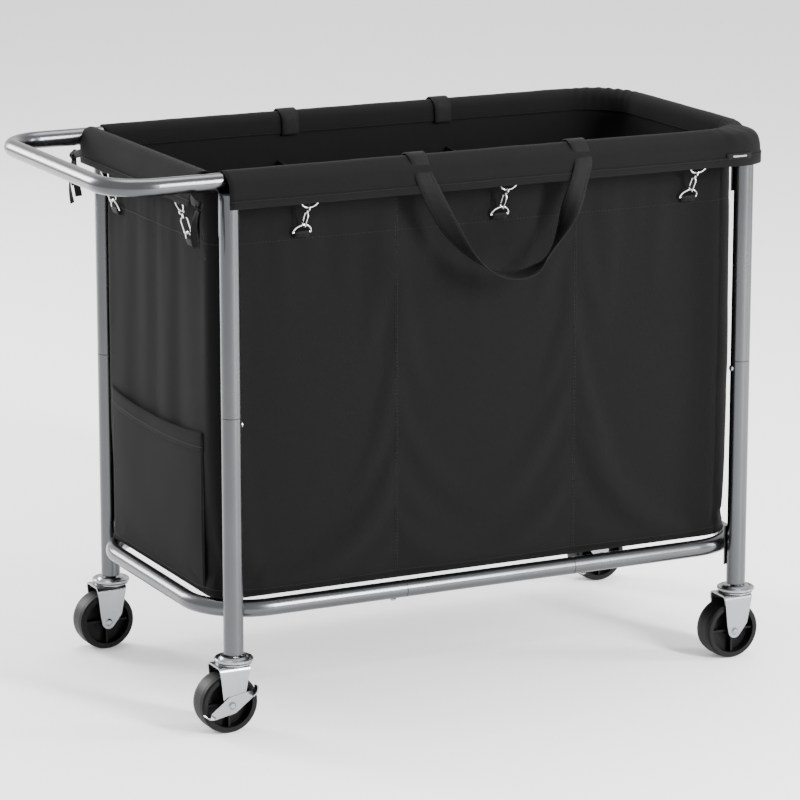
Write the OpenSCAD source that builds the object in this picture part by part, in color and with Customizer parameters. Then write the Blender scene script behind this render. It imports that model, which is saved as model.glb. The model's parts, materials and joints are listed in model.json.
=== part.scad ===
// Rolling laundry sorter: a steel tube frame on four casters, with a push
// handle at the -X end, carries a fabric bag with three compartments.
// Millimetres, +Z up. The origin is on the floor under the middle of the part.

/* [Frame] */
// Distance between the leg axes along the long side
leg_span_x = 720; // [600:10:840]
// Distance between the leg axes across the short side
leg_span_y = 400; // [340:10:460]
// Outer diameter of the four legs
leg_d = 25; // [24:0.5:28]
// Outer diameter of the rail, ring and crossbar tubes
loop_d = 22; // [20:0.5:24]
// Wall thickness of every tube
tube_wall = 1.2; // [1:0.1:1.6]
// Height of the top rail's axis
rail_z = 687; // [620:1:760]
// Height of the lower ring's axis
ring_z = 148; // [140:1:170]
// Height where the upper and lower leg tubes meet
leg_joint_z = 397; // [360:1:430]
// Height of the legs' lower ends
leg_bottom_z = 98; // [97:1:100]
// How far the loops' end bars lie outside the leg axes
loop_overhang = 24; // [20:1:28]
// How far the loops' long sides lie inside the leg axes
loop_inset = 10; // [8:1:12]
// Push bar's distance from the crossbar
handle_reach = 121; // [100:1:160]
// Bend radius at the push handle's corners
handle_bend_r = 55; // [45:1:65]
// Distance of the ring's tube joints from the middle
ring_joint_x = 120; // [100:5:140]

/* [Brackets and screws] */
// Thickness of the bracket plates
bracket_t = 2; // [1.5:0.5:2.5]
// Width of the bracket plates
bracket_w = 16; // [14:1:18]
// Radius of the frame screws' shanks
screw_r = 2.4; // [2:0.1:2.5]
// Radius of the frame screws' heads
screw_head_r = 4.2; // [4:0.1:4.5]

/* [Casters] */
// Wheel radius
wheel_r = 38; // [36:0.5:38]
// Width of the wheel's tread
wheel_w = 32; // [28:1:32]
// Distance of the axle behind the swivel axis
caster_trail = 12; // [10:1:16]
// Radius of the wheel axle
axle_r = 3.5; // [3:0.25:4]
// Tilt of the brake lever when it stands at rest
lever_tilt = 24; // [15:1:28]

/* [Bag] */
// Thickness of the fabric walls, flaps and covers
fabric_t = 1.6; // [1.2:0.1:2]
// Height of the bag's underside
bag_bottom_z = 160; // [160:1:164]
// Corner radius of the bag at the handle end
bag_left_r = 30; // [20:1:40]
// Corner radius of the bag's body at the far end
bag_right_r = 50; // [30:1:60]
// Distance of the two dividers from the middle
divider_x = 124; // [110:1:140]
// Height of the dividers' top edges
divider_top_z = 636; // [560:1:650]
// Height of the lower edge of the long flaps
flap_low_z = 656; // [650:1:660]
// Height of the lower edge of the flap on the crossbar
end_flap_low_z = 650; // [645:1:656]
// Height of the side pocket's mouth
pocket_top_z = 362; // [300:1:380]
// Half width of the side pocket
pocket_half_w = 147; // [100:1:148]
// How far the side pocket's panel stands off the bag
pocket_depth = 8; // [6:0.5:10]

/* [Webbing and hardware] */
// Width of the carry handles' webbing
webbing_w = 25; // [20:1:30]
// Thickness of the webbing
webbing_t = 1.8; // [1.5:0.1:2.5]
// Half the distance between a carry handle's two ends
carry_half_span = 112; // [90:1:120]
// Height of the lowest point of a hanging carry handle
carry_low_z = 528; // [500:1:560]
// Distance between neighbouring hooks on the long sides
hook_pitch_x = 272; // [240:2:280]
// Distance of the two hooks on the handle end from the middle
hook_end_y = 120; // [90:2:120]
// Distance of the two hooks on the far end from the middle
hook_far_y = 113; // [90:1:113]
// Radius of the D-rings' wire
ring_wire_r = 1.3; // [1:0.1:1.5]

/* [Hidden] */

$fn = 48;
steel = [0.44, 0.45, 0.47];
zinc = [0.72, 0.73, 0.75];
black_plastic = [0.07, 0.07, 0.07];
charcoal = [0.1, 0.1, 0.1];
webbing_black = [0.05, 0.05, 0.05];

// Frame plan
leg_x = leg_span_x / 2;
leg_y = leg_span_y / 2;
leg_r = leg_d / 2;
loop_r = loop_d / 2;
loop_x = leg_x + loop_overhang;
loop_y = leg_y - loop_inset;
push_bar_x = loop_x + handle_reach;
// The bend radius at which a bracket plate just fits between leg and loop,
// rounded up to the next half millimetre
leg_to_loop = leg_r + loop_r + bracket_t;
bend_half_sum = leg_to_loop + loop_overhang - loop_inset;
bend_offset = pow(loop_overhang, 2) + pow(loop_inset, 2) - pow(leg_to_loop, 2);
bend_r = ceil(2 * (bend_half_sum + sqrt(pow(bend_half_sum, 2) - bend_offset))) / 2;
// Shift that puts the origin under the middle of the push bar and right wheels
frame_x = (push_bar_x + loop_r - leg_x - caster_trail - wheel_r) / 2;
leg_top_z = rail_z - 14;
plug_flange = 1.6;
bracket_rise = 2;
CORNERS = [[-1, -1], [1, -1], [-1, 1], [1, 1]];

// Joints and fasteners
slip = 0.1;
hole_gap = 0.05;
leg_connector_reach = 30;
loop_connector_reach = 25;
connector_wall = 1.5;
screw_length = 9;
screw_head_h = 2.4;
lower_screw_dz = [-17, 17];
upper_screw_dz = [-59, -43];
leg_screw_drop = 10;
ring_screw_x = ring_joint_x + 16;

// Casters, measured from the floor under the leg
fork_plate_z = 84;
fork_t = 2.5;
fork_inner = wheel_w / 2 + 1.5;
fork_outer = fork_inner + fork_t;
fork_front = 14;
fork_back = -27;
fork_waist_z = 47;
fork_waist_back = -23;
fork_waist_front = 6.5;
fork_eye_r = 9;
fork_bend_r = 7;
king_pin_r = 5;
lever_t = 1.6;
lever_gap = 0.3;
lever_arm = 26;
lever_boss_r = 11;
lever_tip_r = 5;
lever_scoop_r = 11;
lever_scoop_angle = 75;
lever_paddle_w = 10;

// Fabric
cover_r = loop_r + 0.3;
cover_outer_r = cover_r + fabric_t;
wall_x = loop_x - cover_r;
wall_y = loop_y - cover_r;
neck_r = bend_r - cover_r;
neck_low_z = 655;
shoulder_z = 610;
cover_start_x = -leg_x - 5;
bend_x = loop_x - bend_r;
bend_y = loop_y - bend_r;
leg_clear_r = leg_r + 0.1;
skirt_gap = 0.3;
shelf_z = leg_top_z + plug_flange + 0.5;
end_cover_y = loop_y - loop_r - 3;
board_t = 3;
bottom_t = 1.5;
board_z = bag_bottom_z + bottom_t + 0.3;
divider_low_z = board_z + board_t + 0.3;

// Hooks: an upper ring, a snap hook and a lower ring make one straight set
ring_r = 12;
ring_gap = 0.1;
set_length = 52;
upper_bar_in = 3.6;
lower_bar_out = 3.6;
long_out = leg_y + leg_clear_r + skirt_gap - wall_y;
end_out = 2 * cover_r;
cover_mid_x = (cover_start_x + loop_x + cover_outer_r) / 2;
hook_eye_r = 3.2;
hook_wire_r = 1.1;
hook_claw_r = 4.4;
hook_neck = 4;
hook_nose = 2;
gate_r = 0.9;
gate_gap = 0.4;

// ------------------------------------------------------------ helpers

module on_frame() {
    translate([frame_x, 0, 0]) children();
}

// Hollow tube along +Z
module tube(d, length) {
    difference() {
        cylinder(d = d, h = length);
        translate([0, 0, -1]) cylinder(d = d - 2 * tube_wall, h = length + 2);
    }
}

module tube_x(x0, x1, y, z) {
    translate([x0, y, z]) rotate([0, 90, 0]) tube(loop_d, x1 - x0);
}

module tube_y(x, y0, y1, z) {
    translate([x, y0, z]) rotate([-90, 0, 0]) tube(loop_d, y1 - y0);
}

module bend(x, y, z, r, start) {
    translate([x, y, z])
        rotate([0, 0, start])
            rotate_extrude(angle = 90)
                translate([r, 0]) difference() {
                    circle(d = loop_d);
                    circle(d = loop_d - 2 * tube_wall);
                }
}

// The +X end of a loop: a bar, two bends and two arms back to arm_x
module loop_end(bar_x, arm_x, z, r) {
    tube_y(bar_x, -(loop_y - r), loop_y - r, z);
    bend(bar_x - r, loop_y - r, z, r, 0);
    bend(bar_x - r, -(loop_y - r), z, r, -90);
    for (side = [-1, 1]) tube_x(arm_x, bar_x - r, side * loop_y, z);
}

// Local +X points from the leg's axis to the centre of the loop's bend
module at_bend(corner) {
    translate([corner[0] * leg_x, corner[1] * leg_y, 0])
        rotate([0, 0, atan2(-corner[1] * (bend_r + loop_inset), -corner[0] * (bend_r - loop_overhang))])
            children();
}

// Local +X points from the leg's axis straight across the frame
module at_side(corner) {
    translate([corner[0] * leg_x, corner[1] * leg_y, 0])
        rotate([0, 0, -90 * corner[1]])
            children();
}

module at_upper(corner) {
    if (corner[0] > 0) at_bend(corner) children();
    else at_side(corner) children();
}

// Local +X points from the leg's axis along the frame towards its middle
module at_joint(corner) {
    translate([corner[0] * leg_x, corner[1] * leg_y, leg_joint_z - leg_screw_drop])
        rotate([0, 0, corner[0] > 0 ? 180 : 0])
            children();
}

// Drill along local X through the near wall
module drill(z) {
    translate([leg_r - screw_length, 0, z])
        rotate([0, 90, 0]) cylinder(r = screw_r + hole_gap, h = 2 * screw_length);
}

// Pan-head screw along local X, whose head rests on the plane x = seat
module screw(seat, z) {
    translate([seat, 0, z]) rotate([0, 90, 0]) {
        translate([0, 0, -screw_length]) cylinder(r = screw_r, h = screw_length);
        cylinder(r = screw_head_r, h = screw_head_h / 2);
        translate([0, 0, screw_head_h / 2])
            cylinder(r1 = screw_head_r, r2 = screw_head_r * 0.7, h = screw_head_h / 2);
    }
}

// ------------------------------------------------------------ frame

module handle_rail() {
    color(steel) on_frame()
        mirror([1, 0, 0]) loop_end(push_bar_x, 0, rail_z, handle_bend_r);
}

module end_rail() {
    color(steel) on_frame() loop_end(loop_x, 0, rail_z, bend_r);
}

module crossbar() {
    color(steel) on_frame() difference() {
        tube_y(-loop_x, -loop_y, loop_y, rail_z);
        for (side = [-1, 1])
            translate([-loop_x - loop_d, side * loop_y, rail_z])
                rotate([0, 90, 0]) cylinder(r = loop_r + hole_gap, h = 2 * loop_d);
    }
}

module ring_screw_holes() {
    for (sx = [-1, 1], sy = [-1, 1])
        translate([sx * ring_screw_x, sy * loop_y, ring_z - loop_d])
            cylinder(r = screw_r + hole_gap, h = loop_d);
}

module ring_end() {
    difference() {
        loop_end(loop_x, ring_joint_x, ring_z, bend_r);
        ring_screw_holes();
    }
}

module ring_left() {
    color(steel) on_frame() mirror([1, 0, 0]) ring_end();
}

module ring_right() {
    color(steel) on_frame() ring_end();
}

module ring_middle(side) {
    color(steel) on_frame() tube_x(-ring_joint_x, ring_joint_x, side * loop_y, ring_z);
}

module ring_middle_front() ring_middle(-1);

module ring_middle_back() ring_middle(1);

module leg_upper(corner) {
    color(steel) on_frame() difference() {
        translate([corner[0] * leg_x, corner[1] * leg_y, leg_joint_z])
            tube(leg_d, leg_top_z - leg_joint_z);
        for (dz = upper_screw_dz) at_upper(corner) drill(rail_z + dz);
    }
}

module leg_lower(corner) {
    color(steel) on_frame() difference() {
        translate([corner[0] * leg_x, corner[1] * leg_y, leg_bottom_z])
            tube(leg_d, leg_joint_z - leg_bottom_z);
        for (dz = lower_screw_dz) at_bend(corner) drill(ring_z + dz);
        at_joint(corner) drill(0);
    }
}

module leg_upper_fl() leg_upper(CORNERS[0]);

module leg_upper_fr() leg_upper(CORNERS[1]);

module leg_upper_bl() leg_upper(CORNERS[2]);

module leg_upper_br() leg_upper(CORNERS[3]);

module leg_lower_fl() leg_lower(CORNERS[0]);

module leg_lower_fr() leg_lower(CORNERS[1]);

module leg_lower_bl() leg_lower(CORNERS[2]);

module leg_lower_br() leg_lower(CORNERS[3]);

// Sleeve that slips into two tubes that meet end to end
module connector(outer_d, reach) {
    difference() {
        translate([0, 0, -reach]) cylinder(d = outer_d, h = 2 * reach);
        translate([0, 0, -reach - 1]) cylinder(d = outer_d - 2 * connector_wall, h = 2 * reach + 2);
    }
}

module tube_connectors() {
    leg_bore = leg_d - 2 * tube_wall - 2 * slip;
    loop_bore = loop_d - 2 * tube_wall - 2 * slip;
    color(steel) on_frame() {
        for (corner = CORNERS) difference() {
            translate([corner[0] * leg_x, corner[1] * leg_y, leg_joint_z])
                connector(leg_bore, leg_connector_reach);
            at_joint(corner) drill(0);
        }
        difference() {
            for (sx = [-1, 1], sy = [-1, 1])
                translate([sx * ring_joint_x, sy * loop_y, ring_z])
                    rotate([0, 90, 0]) connector(loop_bore, loop_connector_reach);
            ring_screw_holes();
        }
        for (sy = [-1, 1])
            translate([0, sy * loop_y, rail_z])
                rotate([0, 90, 0]) connector(loop_bore, loop_connector_reach);
    }
}

// Flat plate against a leg, with screw holes, all measured from a tube's axis
module bracket_plate(tube_z, low, high, holes) {
    difference() {
        translate([leg_r, -bracket_w / 2, tube_z + low]) cube([bracket_t, bracket_w, high - low]);
        for (dz = holes) drill(tube_z + dz);
    }
}

module bracket_plates() {
    lower_half = 26;
    upper_drop = 68;
    color(steel) on_frame() difference() {
        for (corner = CORNERS) {
            at_bend(corner) bracket_plate(ring_z, -lower_half, lower_half, lower_screw_dz);
            at_upper(corner)
                bracket_plate(rail_z, -upper_drop, corner[0] > 0 ? bracket_rise : -8, upper_screw_dz);
        }
        for (sy = [-1, 1])
            translate([-loop_x, sy * loop_y, rail_z])
                rotate([0, 90, 0]) cylinder(r = loop_r + hole_gap, h = loop_x);
    }
}

module frame_screws() {
    color(zinc) on_frame() {
        for (corner = CORNERS) {
            for (dz = lower_screw_dz) at_bend(corner) screw(leg_r + bracket_t, ring_z + dz);
            for (dz = upper_screw_dz) at_upper(corner) screw(leg_r + bracket_t, rail_z + dz);
            at_joint(corner) screw(leg_r, 0);
        }
        for (sx = [-1, 1], sy = [-1, 1])
            translate([sx * ring_screw_x, sy * loop_y, ring_z])
                rotate([0, 90, 0]) screw(loop_r, 0);
    }
}

module leg_plugs() {
    depth = 14;
    color(black_plastic) on_frame()
        for (corner = CORNERS) translate([corner[0] * leg_x, corner[1] * leg_y, leg_top_z]) {
            cylinder(d = leg_d, h = plug_flange);
            translate([0, 0, -depth]) cylinder(d = leg_d - 2 * tube_wall - 2 * slip, h = depth);
        }
}

// ------------------------------------------------------------ casters

// Local origin on the floor under the leg; the wheel trails towards -X, and
// the caster at the far corner has swivelled half a turn
module at_caster(corner) {
    translate([corner[0] * leg_x, corner[1] * leg_y, 0])
        rotate([0, 0, corner == CORNERS[3] ? 180 : 0])
            children();
}

module stem_sockets() {
    socket_h = 29;
    color(black_plastic) on_frame()
        for (corner = CORNERS) translate([corner[0] * leg_x, corner[1] * leg_y, leg_bottom_z])
            difference() {
                cylinder(d = leg_d - 2 * tube_wall - 2 * slip, h = socket_h);
                translate([0, 0, -1]) cylinder(r = king_pin_r + hole_gap, h = socket_h + 2);
            }
}

// Threaded stem with its nut, the upper raceway and the king pin's lower head
module caster_stems() {
    raceway_r = 24.5;
    raceway_low = fork_plate_z + fork_t + 2;
    raceway_h = 7;
    nut_r = 8;
    pin_low = fork_plate_z - 2.7;
    color(zinc) on_frame()
        for (corner = CORNERS) translate([corner[0] * leg_x, corner[1] * leg_y, 0]) {
            translate([0, 0, pin_low]) cylinder(r = king_pin_r, h = leg_bottom_z + 30 - pin_low);
            translate([0, 0, pin_low]) cylinder(r = nut_r, h = 2.2);
            translate([0, 0, raceway_low])
                rotate_extrude()
                    polygon([[0, 0], [raceway_r - 2, 0], [raceway_r, 1.4], [raceway_r, 4],
                             [raceway_r - 1, 4.8], [raceway_r - 3, 4.4], [raceway_r - 5, 3.4],
                             [raceway_r - 6.5, 4.4], [raceway_r - 8.5, raceway_h - 0.4],
                             [raceway_r - 11, raceway_h], [nut_r + 3.5, raceway_h - 1],
                             [nut_r + 2.5, raceway_h - 2], [0, raceway_h - 2]]);
            translate([0, 0, raceway_low + raceway_h - 2])
                cylinder(r = nut_r, h = leg_bottom_z - raceway_low - raceway_h + 1.9, $fn = 6);
        }
}

// Side view: wide under the raceway, straight to a waist, then round the axle
module fork_outline() {
    hull() {
        translate([fork_back, fork_plate_z]) square([fork_front - fork_back, fork_t]);
        translate([fork_waist_back, fork_waist_z]) square([fork_waist_front - fork_waist_back, 1]);
        translate([-caster_trail, wheel_r]) circle(r = fork_eye_r);
    }
}

// End view of the strip that is bent down on both sides, filled solid
module fork_arch(half, top, r) {
    translate([-half, 0]) square([2 * half, top - r]);
    translate([-half + r, 0]) square([2 * (half - r), top]);
    for (side = [-1, 1]) translate([side * (half - r), top - r]) circle(r = r);
}

module fork(corner) {
    lower_raceway_r = 22.5;
    color(zinc) on_frame() at_caster(corner) difference() {
        union() {
            intersection() {
                rotate([90, 0, 0]) linear_extrude(3 * fork_outer, center = true) fork_outline();
                translate([2 * fork_back, 0, 0]) rotate([90, 0, 90]) linear_extrude(-4 * fork_back)
                    difference() {
                        fork_arch(fork_outer, fork_plate_z + fork_t, fork_bend_r);
                        translate([0, -1]) fork_arch(fork_inner, fork_plate_z + 1, fork_bend_r - fork_t);
                    }
            }
            translate([0, 0, fork_plate_z]) cylinder(r = fork_outer - 2, h = fork_t);
            translate([0, 0, fork_plate_z + fork_t]) cylinder(r = lower_raceway_r, h = 1.5);
        }
        translate([0, 0, fork_plate_z - 1]) cylinder(r = king_pin_r + hole_gap, h = fork_t + 4);
        translate([-caster_trail, -fork_outer - 1, wheel_r])
            rotate([-90, 0, 0]) cylinder(r = axle_r + hole_gap, h = 2 * fork_outer + 2);
    }
}

module fork_fl() fork(CORNERS[0]);

module fork_fr() fork(CORNERS[1]);

module fork_bl() fork(CORNERS[2]);

module fork_br() fork(CORNERS[3]);

// Rivet whose near head stands off by the brake lever's thickness, if any
module axle(corner, braked) {
    head_r = 5;
    head_h = 2.2;
    near = fork_outer + (braked ? lever_t + 2 * lever_gap : 0.1);
    far = fork_outer + 0.1;
    color(zinc) on_frame() at_caster(corner) translate([-caster_trail, 0, wheel_r]) {
        translate([0, -near, 0]) rotate([-90, 0, 0]) cylinder(r = axle_r, h = near + far);
        translate([0, -near, 0]) rotate([90, 0, 0]) cylinder(r1 = head_r, r2 = head_r * 0.6, h = head_h);
        translate([0, far, 0]) rotate([-90, 0, 0]) cylinder(r1 = head_r, r2 = head_r * 0.6, h = head_h);
    }
}

module axle_fl() axle(CORNERS[0], true);

module axle_fr() axle(CORNERS[1], false);

module axle_bl() axle(CORNERS[2], false);

module axle_br() axle(CORNERS[3], true);

// Solid of revolution with a crowned tread, a sunk web and a hub, plus ribs
module wheel(corner) {
    half = wheel_w / 2;
    rim_r = 30;
    web_half = 3;
    hub_r = 9;
    hub_half = half + 0.8;
    rib_t = 2.6;
    rib_half = half - 4;
    color(black_plastic) on_frame() at_caster(corner) translate([-caster_trail, 0, wheel_r]) {
        rotate([90, 0, 0]) rotate_extrude($fn = 96) difference() {
            polygon([[axle_r + hole_gap, -hub_half], [hub_r, -hub_half], [hub_r, -web_half],
                     [rim_r, -web_half], [rim_r, -half], [wheel_r - 3, -half], [wheel_r - 0.8, -half + 2],
                     [wheel_r, -half / 2], [wheel_r, half / 2], [wheel_r - 0.8, half - 2],
                     [wheel_r - 3, half], [rim_r, half], [rim_r, web_half],
                     [hub_r, web_half], [hub_r, hub_half], [axle_r + hole_gap, hub_half]]);
        }
        for (side = [-1, 1], turn = [0 : 90 : 270])
            rotate([0, turn, 0])
                translate([hub_r - 1, side > 0 ? web_half - 0.5 : -rib_half, -rib_t / 2])
                    cube([rim_r - hub_r + 2, rib_half - web_half + 0.5, rib_t]);
    }
}

module wheel_fl() wheel(CORNERS[0]);

module wheel_fr() wheel(CORNERS[1]);

module wheel_bl() wheel(CORNERS[2]);

module wheel_br() wheel(CORNERS[3]);

// Section of a toe paddle: it leaves the arm level and curls upwards
module paddle_scoop() {
    intersection() {
        translate([0, lever_scoop_r]) difference() {
            circle(r = lever_scoop_r + lever_t / 2);
            circle(r = lever_scoop_r - lever_t / 2);
        }
        polygon([[0, lever_scoop_r], [0, -lever_scoop_r], [lever_scoop_r, -lever_scoop_r],
                 [2 * lever_scoop_r * sin(lever_scoop_angle),
                  lever_scoop_r - 2 * lever_scoop_r * cos(lever_scoop_angle)]]);
    }
}

// Stamped rocker on the axle with a scooped toe paddle at each end
module brake_rocker() {
    difference() {
        union() {
            for (side = [-1, 1]) {
                rotate([90, 0, 0]) linear_extrude(lever_t) hull() {
                    circle(r = lever_boss_r);
                    translate([side * lever_arm, 0]) circle(r = lever_tip_r);
                }
                mirror([side > 0 ? 0 : 1, 0, 0]) translate([lever_arm + 1, 0, 0]) rotate([90, 0, 0])
                    linear_extrude(lever_paddle_w) paddle_scoop();
            }
        }
        translate([0, 1, 0]) rotate([90, 0, 0]) cylinder(r = axle_r + hole_gap, h = lever_t + 2);
    }
}

module brake_lever(corner) {
    color(zinc) on_frame() at_caster(corner)
        translate([-caster_trail, -fork_outer - lever_gap, wheel_r])
            rotate([0, -lever_tilt, 0]) brake_rocker();
}

module brake_lever_fl() brake_lever(CORNERS[0]);

module brake_lever_br() brake_lever(CORNERS[3]);

// ------------------------------------------------------------ bag

// Rounded rectangle whose -X corners and +X corners may differ
module bag_plan(inset, left_r, right_r) {
    hull() for (sy = [-1, 1]) {
        translate([-wall_x + left_r, sy * (wall_y - left_r)]) circle(r = left_r - inset, $fn = 32);
        translate([wall_x - right_r, sy * (wall_y - right_r)]) circle(r = right_r - inset, $fn = 32);
    }
}

// Straight body, a shoulder and a neck that follows the rail's bends
module bag_form(inset, low, high) {
    slab = 0.5;
    translate([0, 0, low]) linear_extrude(shoulder_z - low) bag_plan(inset, bag_left_r, bag_right_r);
    hull() {
        translate([0, 0, shoulder_z - slab]) linear_extrude(slab) bag_plan(inset, bag_left_r, bag_right_r);
        translate([0, 0, neck_low_z]) linear_extrude(slab) bag_plan(inset, bag_left_r, neck_r);
    }
    translate([0, 0, neck_low_z]) linear_extrude(high - neck_low_z) bag_plan(inset, bag_left_r, neck_r);
}

module bag_shell() {
    color(charcoal) on_frame() difference() {
        bag_form(0, bag_bottom_z, rail_z);
        bag_form(fabric_t, bag_bottom_z + bottom_t, rail_z + 1);
    }
}

// One stiff board in the bottom of each compartment
module floor_board() {
    board_gap = 1;
    color(charcoal) on_frame() difference() {
        translate([0, 0, board_z]) linear_extrude(board_t) bag_plan(fabric_t + 1, bag_left_r, bag_right_r);
        for (side = [-1, 1])
            translate([side * divider_x - fabric_t / 2 - board_gap, -wall_y, board_z - 1])
                cube([fabric_t + 2 * board_gap, 2 * wall_y, board_t + 2]);
    }
}

module divider(side) {
    half_w = wall_y - fabric_t - 0.3;
    color(charcoal) on_frame()
        translate([side * divider_x - fabric_t / 2, -half_w, divider_low_z])
            cube([fabric_t, 2 * half_w, divider_top_z - divider_low_z]);
}

module divider_left() divider(-1);

module divider_right() divider(1);

// Flat panel on two short gussets and a bottom strip, open at the top
module side_pocket() {
    low = bag_bottom_z + 8;
    inner = wall_x + 0.3;
    color(charcoal) on_frame() difference() {
        translate([-inner - pocket_depth, -pocket_half_w, low])
            cube([pocket_depth, 2 * pocket_half_w, pocket_top_z - low]);
        translate([-inner - pocket_depth + fabric_t, -pocket_half_w + fabric_t, low + fabric_t])
            cube([pocket_depth, 2 * (pocket_half_w - fabric_t), pocket_top_z]);
    }
}

// Half ring over the rail and the strip below its outer side, drawn with the
// rail's axis at the origin and +X outwards
module cover_profile(strip_low) {
    difference() {
        circle(r = cover_outer_r);
        circle(r = cover_r);
        translate([-loop_d, -2 * loop_d]) square([2 * loop_d, 2 * loop_d]);
    }
    translate([cover_r, strip_low - rail_z]) square([fabric_t, rail_z - strip_low]);
}

// The cover over the rail's long sides and right end, without its skirt
module rail_cover() {
    for (side = [-1, 1])
        translate([cover_start_x, side * loop_y, rail_z]) mirror([0, side > 0 ? 0 : 1, 0])
            rotate([90, 0, 90]) linear_extrude(bend_x - cover_start_x) cover_profile(shelf_z);
    translate([loop_x, bend_y, rail_z]) rotate([90, 0, 0])
        linear_extrude(2 * bend_y) cover_profile(shelf_z);
    for (side = [0, 1]) mirror([0, side, 0]) translate([bend_x, bend_y, rail_z])
        rotate_extrude(angle = 90) translate([bend_r, 0]) cover_profile(shelf_z);
}

// Plan of the loop at an offset from its axis, square at the -X end
module loop_plan(offset) {
    translate([cover_start_x, -loop_y - offset]) square([bend_x - cover_start_x, 2 * (loop_y + offset)]);
    translate([0, -bend_y]) square([loop_x + offset, 2 * bend_y]);
    for (side = [-1, 1]) translate([bend_x, side * bend_y]) circle(r = bend_r + offset, $fn = 96);
}

// Plan of the skirt, which hangs clear of the legs' outer sides
module skirt_plan(extra) {
    hull() {
        loop_plan(cover_r + extra);
        for (side = [-1, 1]) translate([leg_x, side * leg_y]) circle(r = leg_clear_r + extra);
        translate([cover_start_x, -leg_y - leg_clear_r - extra])
            square([leg_r, 2 * (leg_y + leg_clear_r + extra)]);
    }
}

module skirt() {
    translate([0, 0, flap_low_z]) linear_extrude(shelf_z - flap_low_z) difference() {
        skirt_plan(skirt_gap + fabric_t);
        skirt_plan(skirt_gap);
    }
    translate([0, 0, shelf_z]) linear_extrude(fabric_t) difference() {
        skirt_plan(skirt_gap + fabric_t);
        loop_plan(cover_r + fabric_t / 2);
    }
}

module whole_cover() {
    rail_cover();
    skirt();
}

module cover_part(x0, x1, y0, y1) {
    color(charcoal) on_frame() intersection() {
        whole_cover();
        translate([x0, y0, 0]) cube([x1 - x0, y1 - y0, 2 * rail_z]);
    }
}

module flap_front() cover_part(cover_start_x + 0.01, bend_x, -leg_span_y, -bend_y);

module flap_back() cover_part(cover_start_x + 0.01, bend_x, bend_y, leg_span_y);

// Slots let the bracket plates through to the rail's bends
module flap_right() {
    difference() {
        cover_part(bend_x, leg_span_x, -leg_span_y, leg_span_y);
        color(charcoal) on_frame() for (corner = CORNERS) if (corner[0] > 0)
            at_bend(corner) translate([leg_r - 0.5, -bracket_w / 2 - 0.4, shelf_z - 2])
                cube([bracket_t + 1.5, bracket_w + 0.8, rail_z + bracket_rise + 0.4 - shelf_z + 2]);
    }
}

module flap_left() {
    color(charcoal) on_frame()
        translate([-loop_x, end_cover_y, rail_z]) rotate([90, 0, 0])
            linear_extrude(2 * end_cover_y) mirror([1, 0]) cover_profile(end_flap_low_z);
}

// ------------------------------------------------------------ webbing

// Section of the strap, with the rail's axis at the origin and -X outwards:
// it wraps the covered rail, then runs straight to the fold at the flap's edge
carry_mid_x = 5.5;
carry_r = carry_half_span;
carry_y = leg_y + leg_clear_r + skirt_gap + fabric_t + 0.4;
fold = [loop_y - carry_y - webbing_t / 2, shelf_z + fabric_t + 1.6 - rail_z];
wrap_r = cover_outer_r + 0.3 + webbing_t / 2;
leave_angle = 360 + atan2(fold[1], fold[0]) - acos(wrap_r / norm(fold));
straight = sqrt(pow(norm(fold), 2) - pow(wrap_r, 2));
fold_gap = 1.8;
anchor_drop = 45;
wrap_steps = 14;

// Both ends of the front or back strap, drawn in the rail's section
module at_strap_ends(side) {
    mirror([0, side > 0 ? 1 : 0, 0]) for (end = [-1, 1])
        translate([carry_mid_x + end * carry_r - webbing_w / 2, -loop_y, rail_z])
            rotate([90, 0, 90]) linear_extrude(webbing_w) children();
}

// The hanging loop: two straight ends below the fold and a half ring
module carry_handle(side) {
    bow_z = carry_low_z + carry_r + webbing_w / 2;
    color(webbing_black) on_frame() {
        mirror([0, side > 0 ? 1 : 0, 0]) translate([carry_mid_x, -carry_y, bow_z])
            rotate([90, 0, 0]) linear_extrude(webbing_t) difference() {
                circle(r = carry_r + webbing_w / 2, $fn = 96);
                circle(r = carry_r - webbing_w / 2, $fn = 96);
                translate([-2 * carry_r, 0]) square([4 * carry_r, 2 * carry_r]);
            }
        at_strap_ends(side) translate([fold[0] - webbing_t / 2, bow_z - rail_z])
            square([webbing_t, fold[1] + rail_z - bow_z]);
    }
}

module carry_handle_front() carry_handle(-1);

module carry_handle_back() carry_handle(1);

// Points of one face of the strap from the inner seam, over the rail, to the fold
function strap_face(r) = concat(
    [[r, -anchor_drop]],
    [for (i = [0 : wrap_steps]) r * [cos(leave_angle * i / wrap_steps), sin(leave_angle * i / wrap_steps)]],
    [r * [cos(leave_angle), sin(leave_angle)] + (straight - fold_gap) * [-sin(leave_angle), cos(leave_angle)]]
);

function reversed(list) = [for (i = [len(list) - 1 : -1 : 0]) list[i]];

// The strap ends that come over the rail and are sewn inside the bag
module handle_anchors() {
    color(webbing_black) on_frame() for (side = [-1, 1]) at_strap_ends(side)
        polygon(concat(strap_face(wrap_r - webbing_t / 2), reversed(strap_face(wrap_r + webbing_t / 2))));
}

// Short ties at the handle end, one on each corner of the crossbar's flap
module tie_straps() {
    strap_w = 12;
    strap_t = 1.2;
    high = rail_z - 16;
    low = rail_z - 80;
    strap_x = -loop_x - cover_outer_r - 0.2 - strap_t;
    color(webbing_black) on_frame() for (side = [-1, 1])
        translate([strap_x, side * (end_cover_y - strap_w / 2) - strap_w / 2, low])
            cube([strap_t, strap_w, high - low]);
}

module blank_label() {
    label_size = [36, 0.8, 9];
    label_x = 322;
    color(webbing_black) on_frame()
        translate([label_x, -carry_y + 0.3 - label_size[1], flap_low_z + 6]) cube(label_size);
}

// ------------------------------------------------------------ hooks

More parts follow.
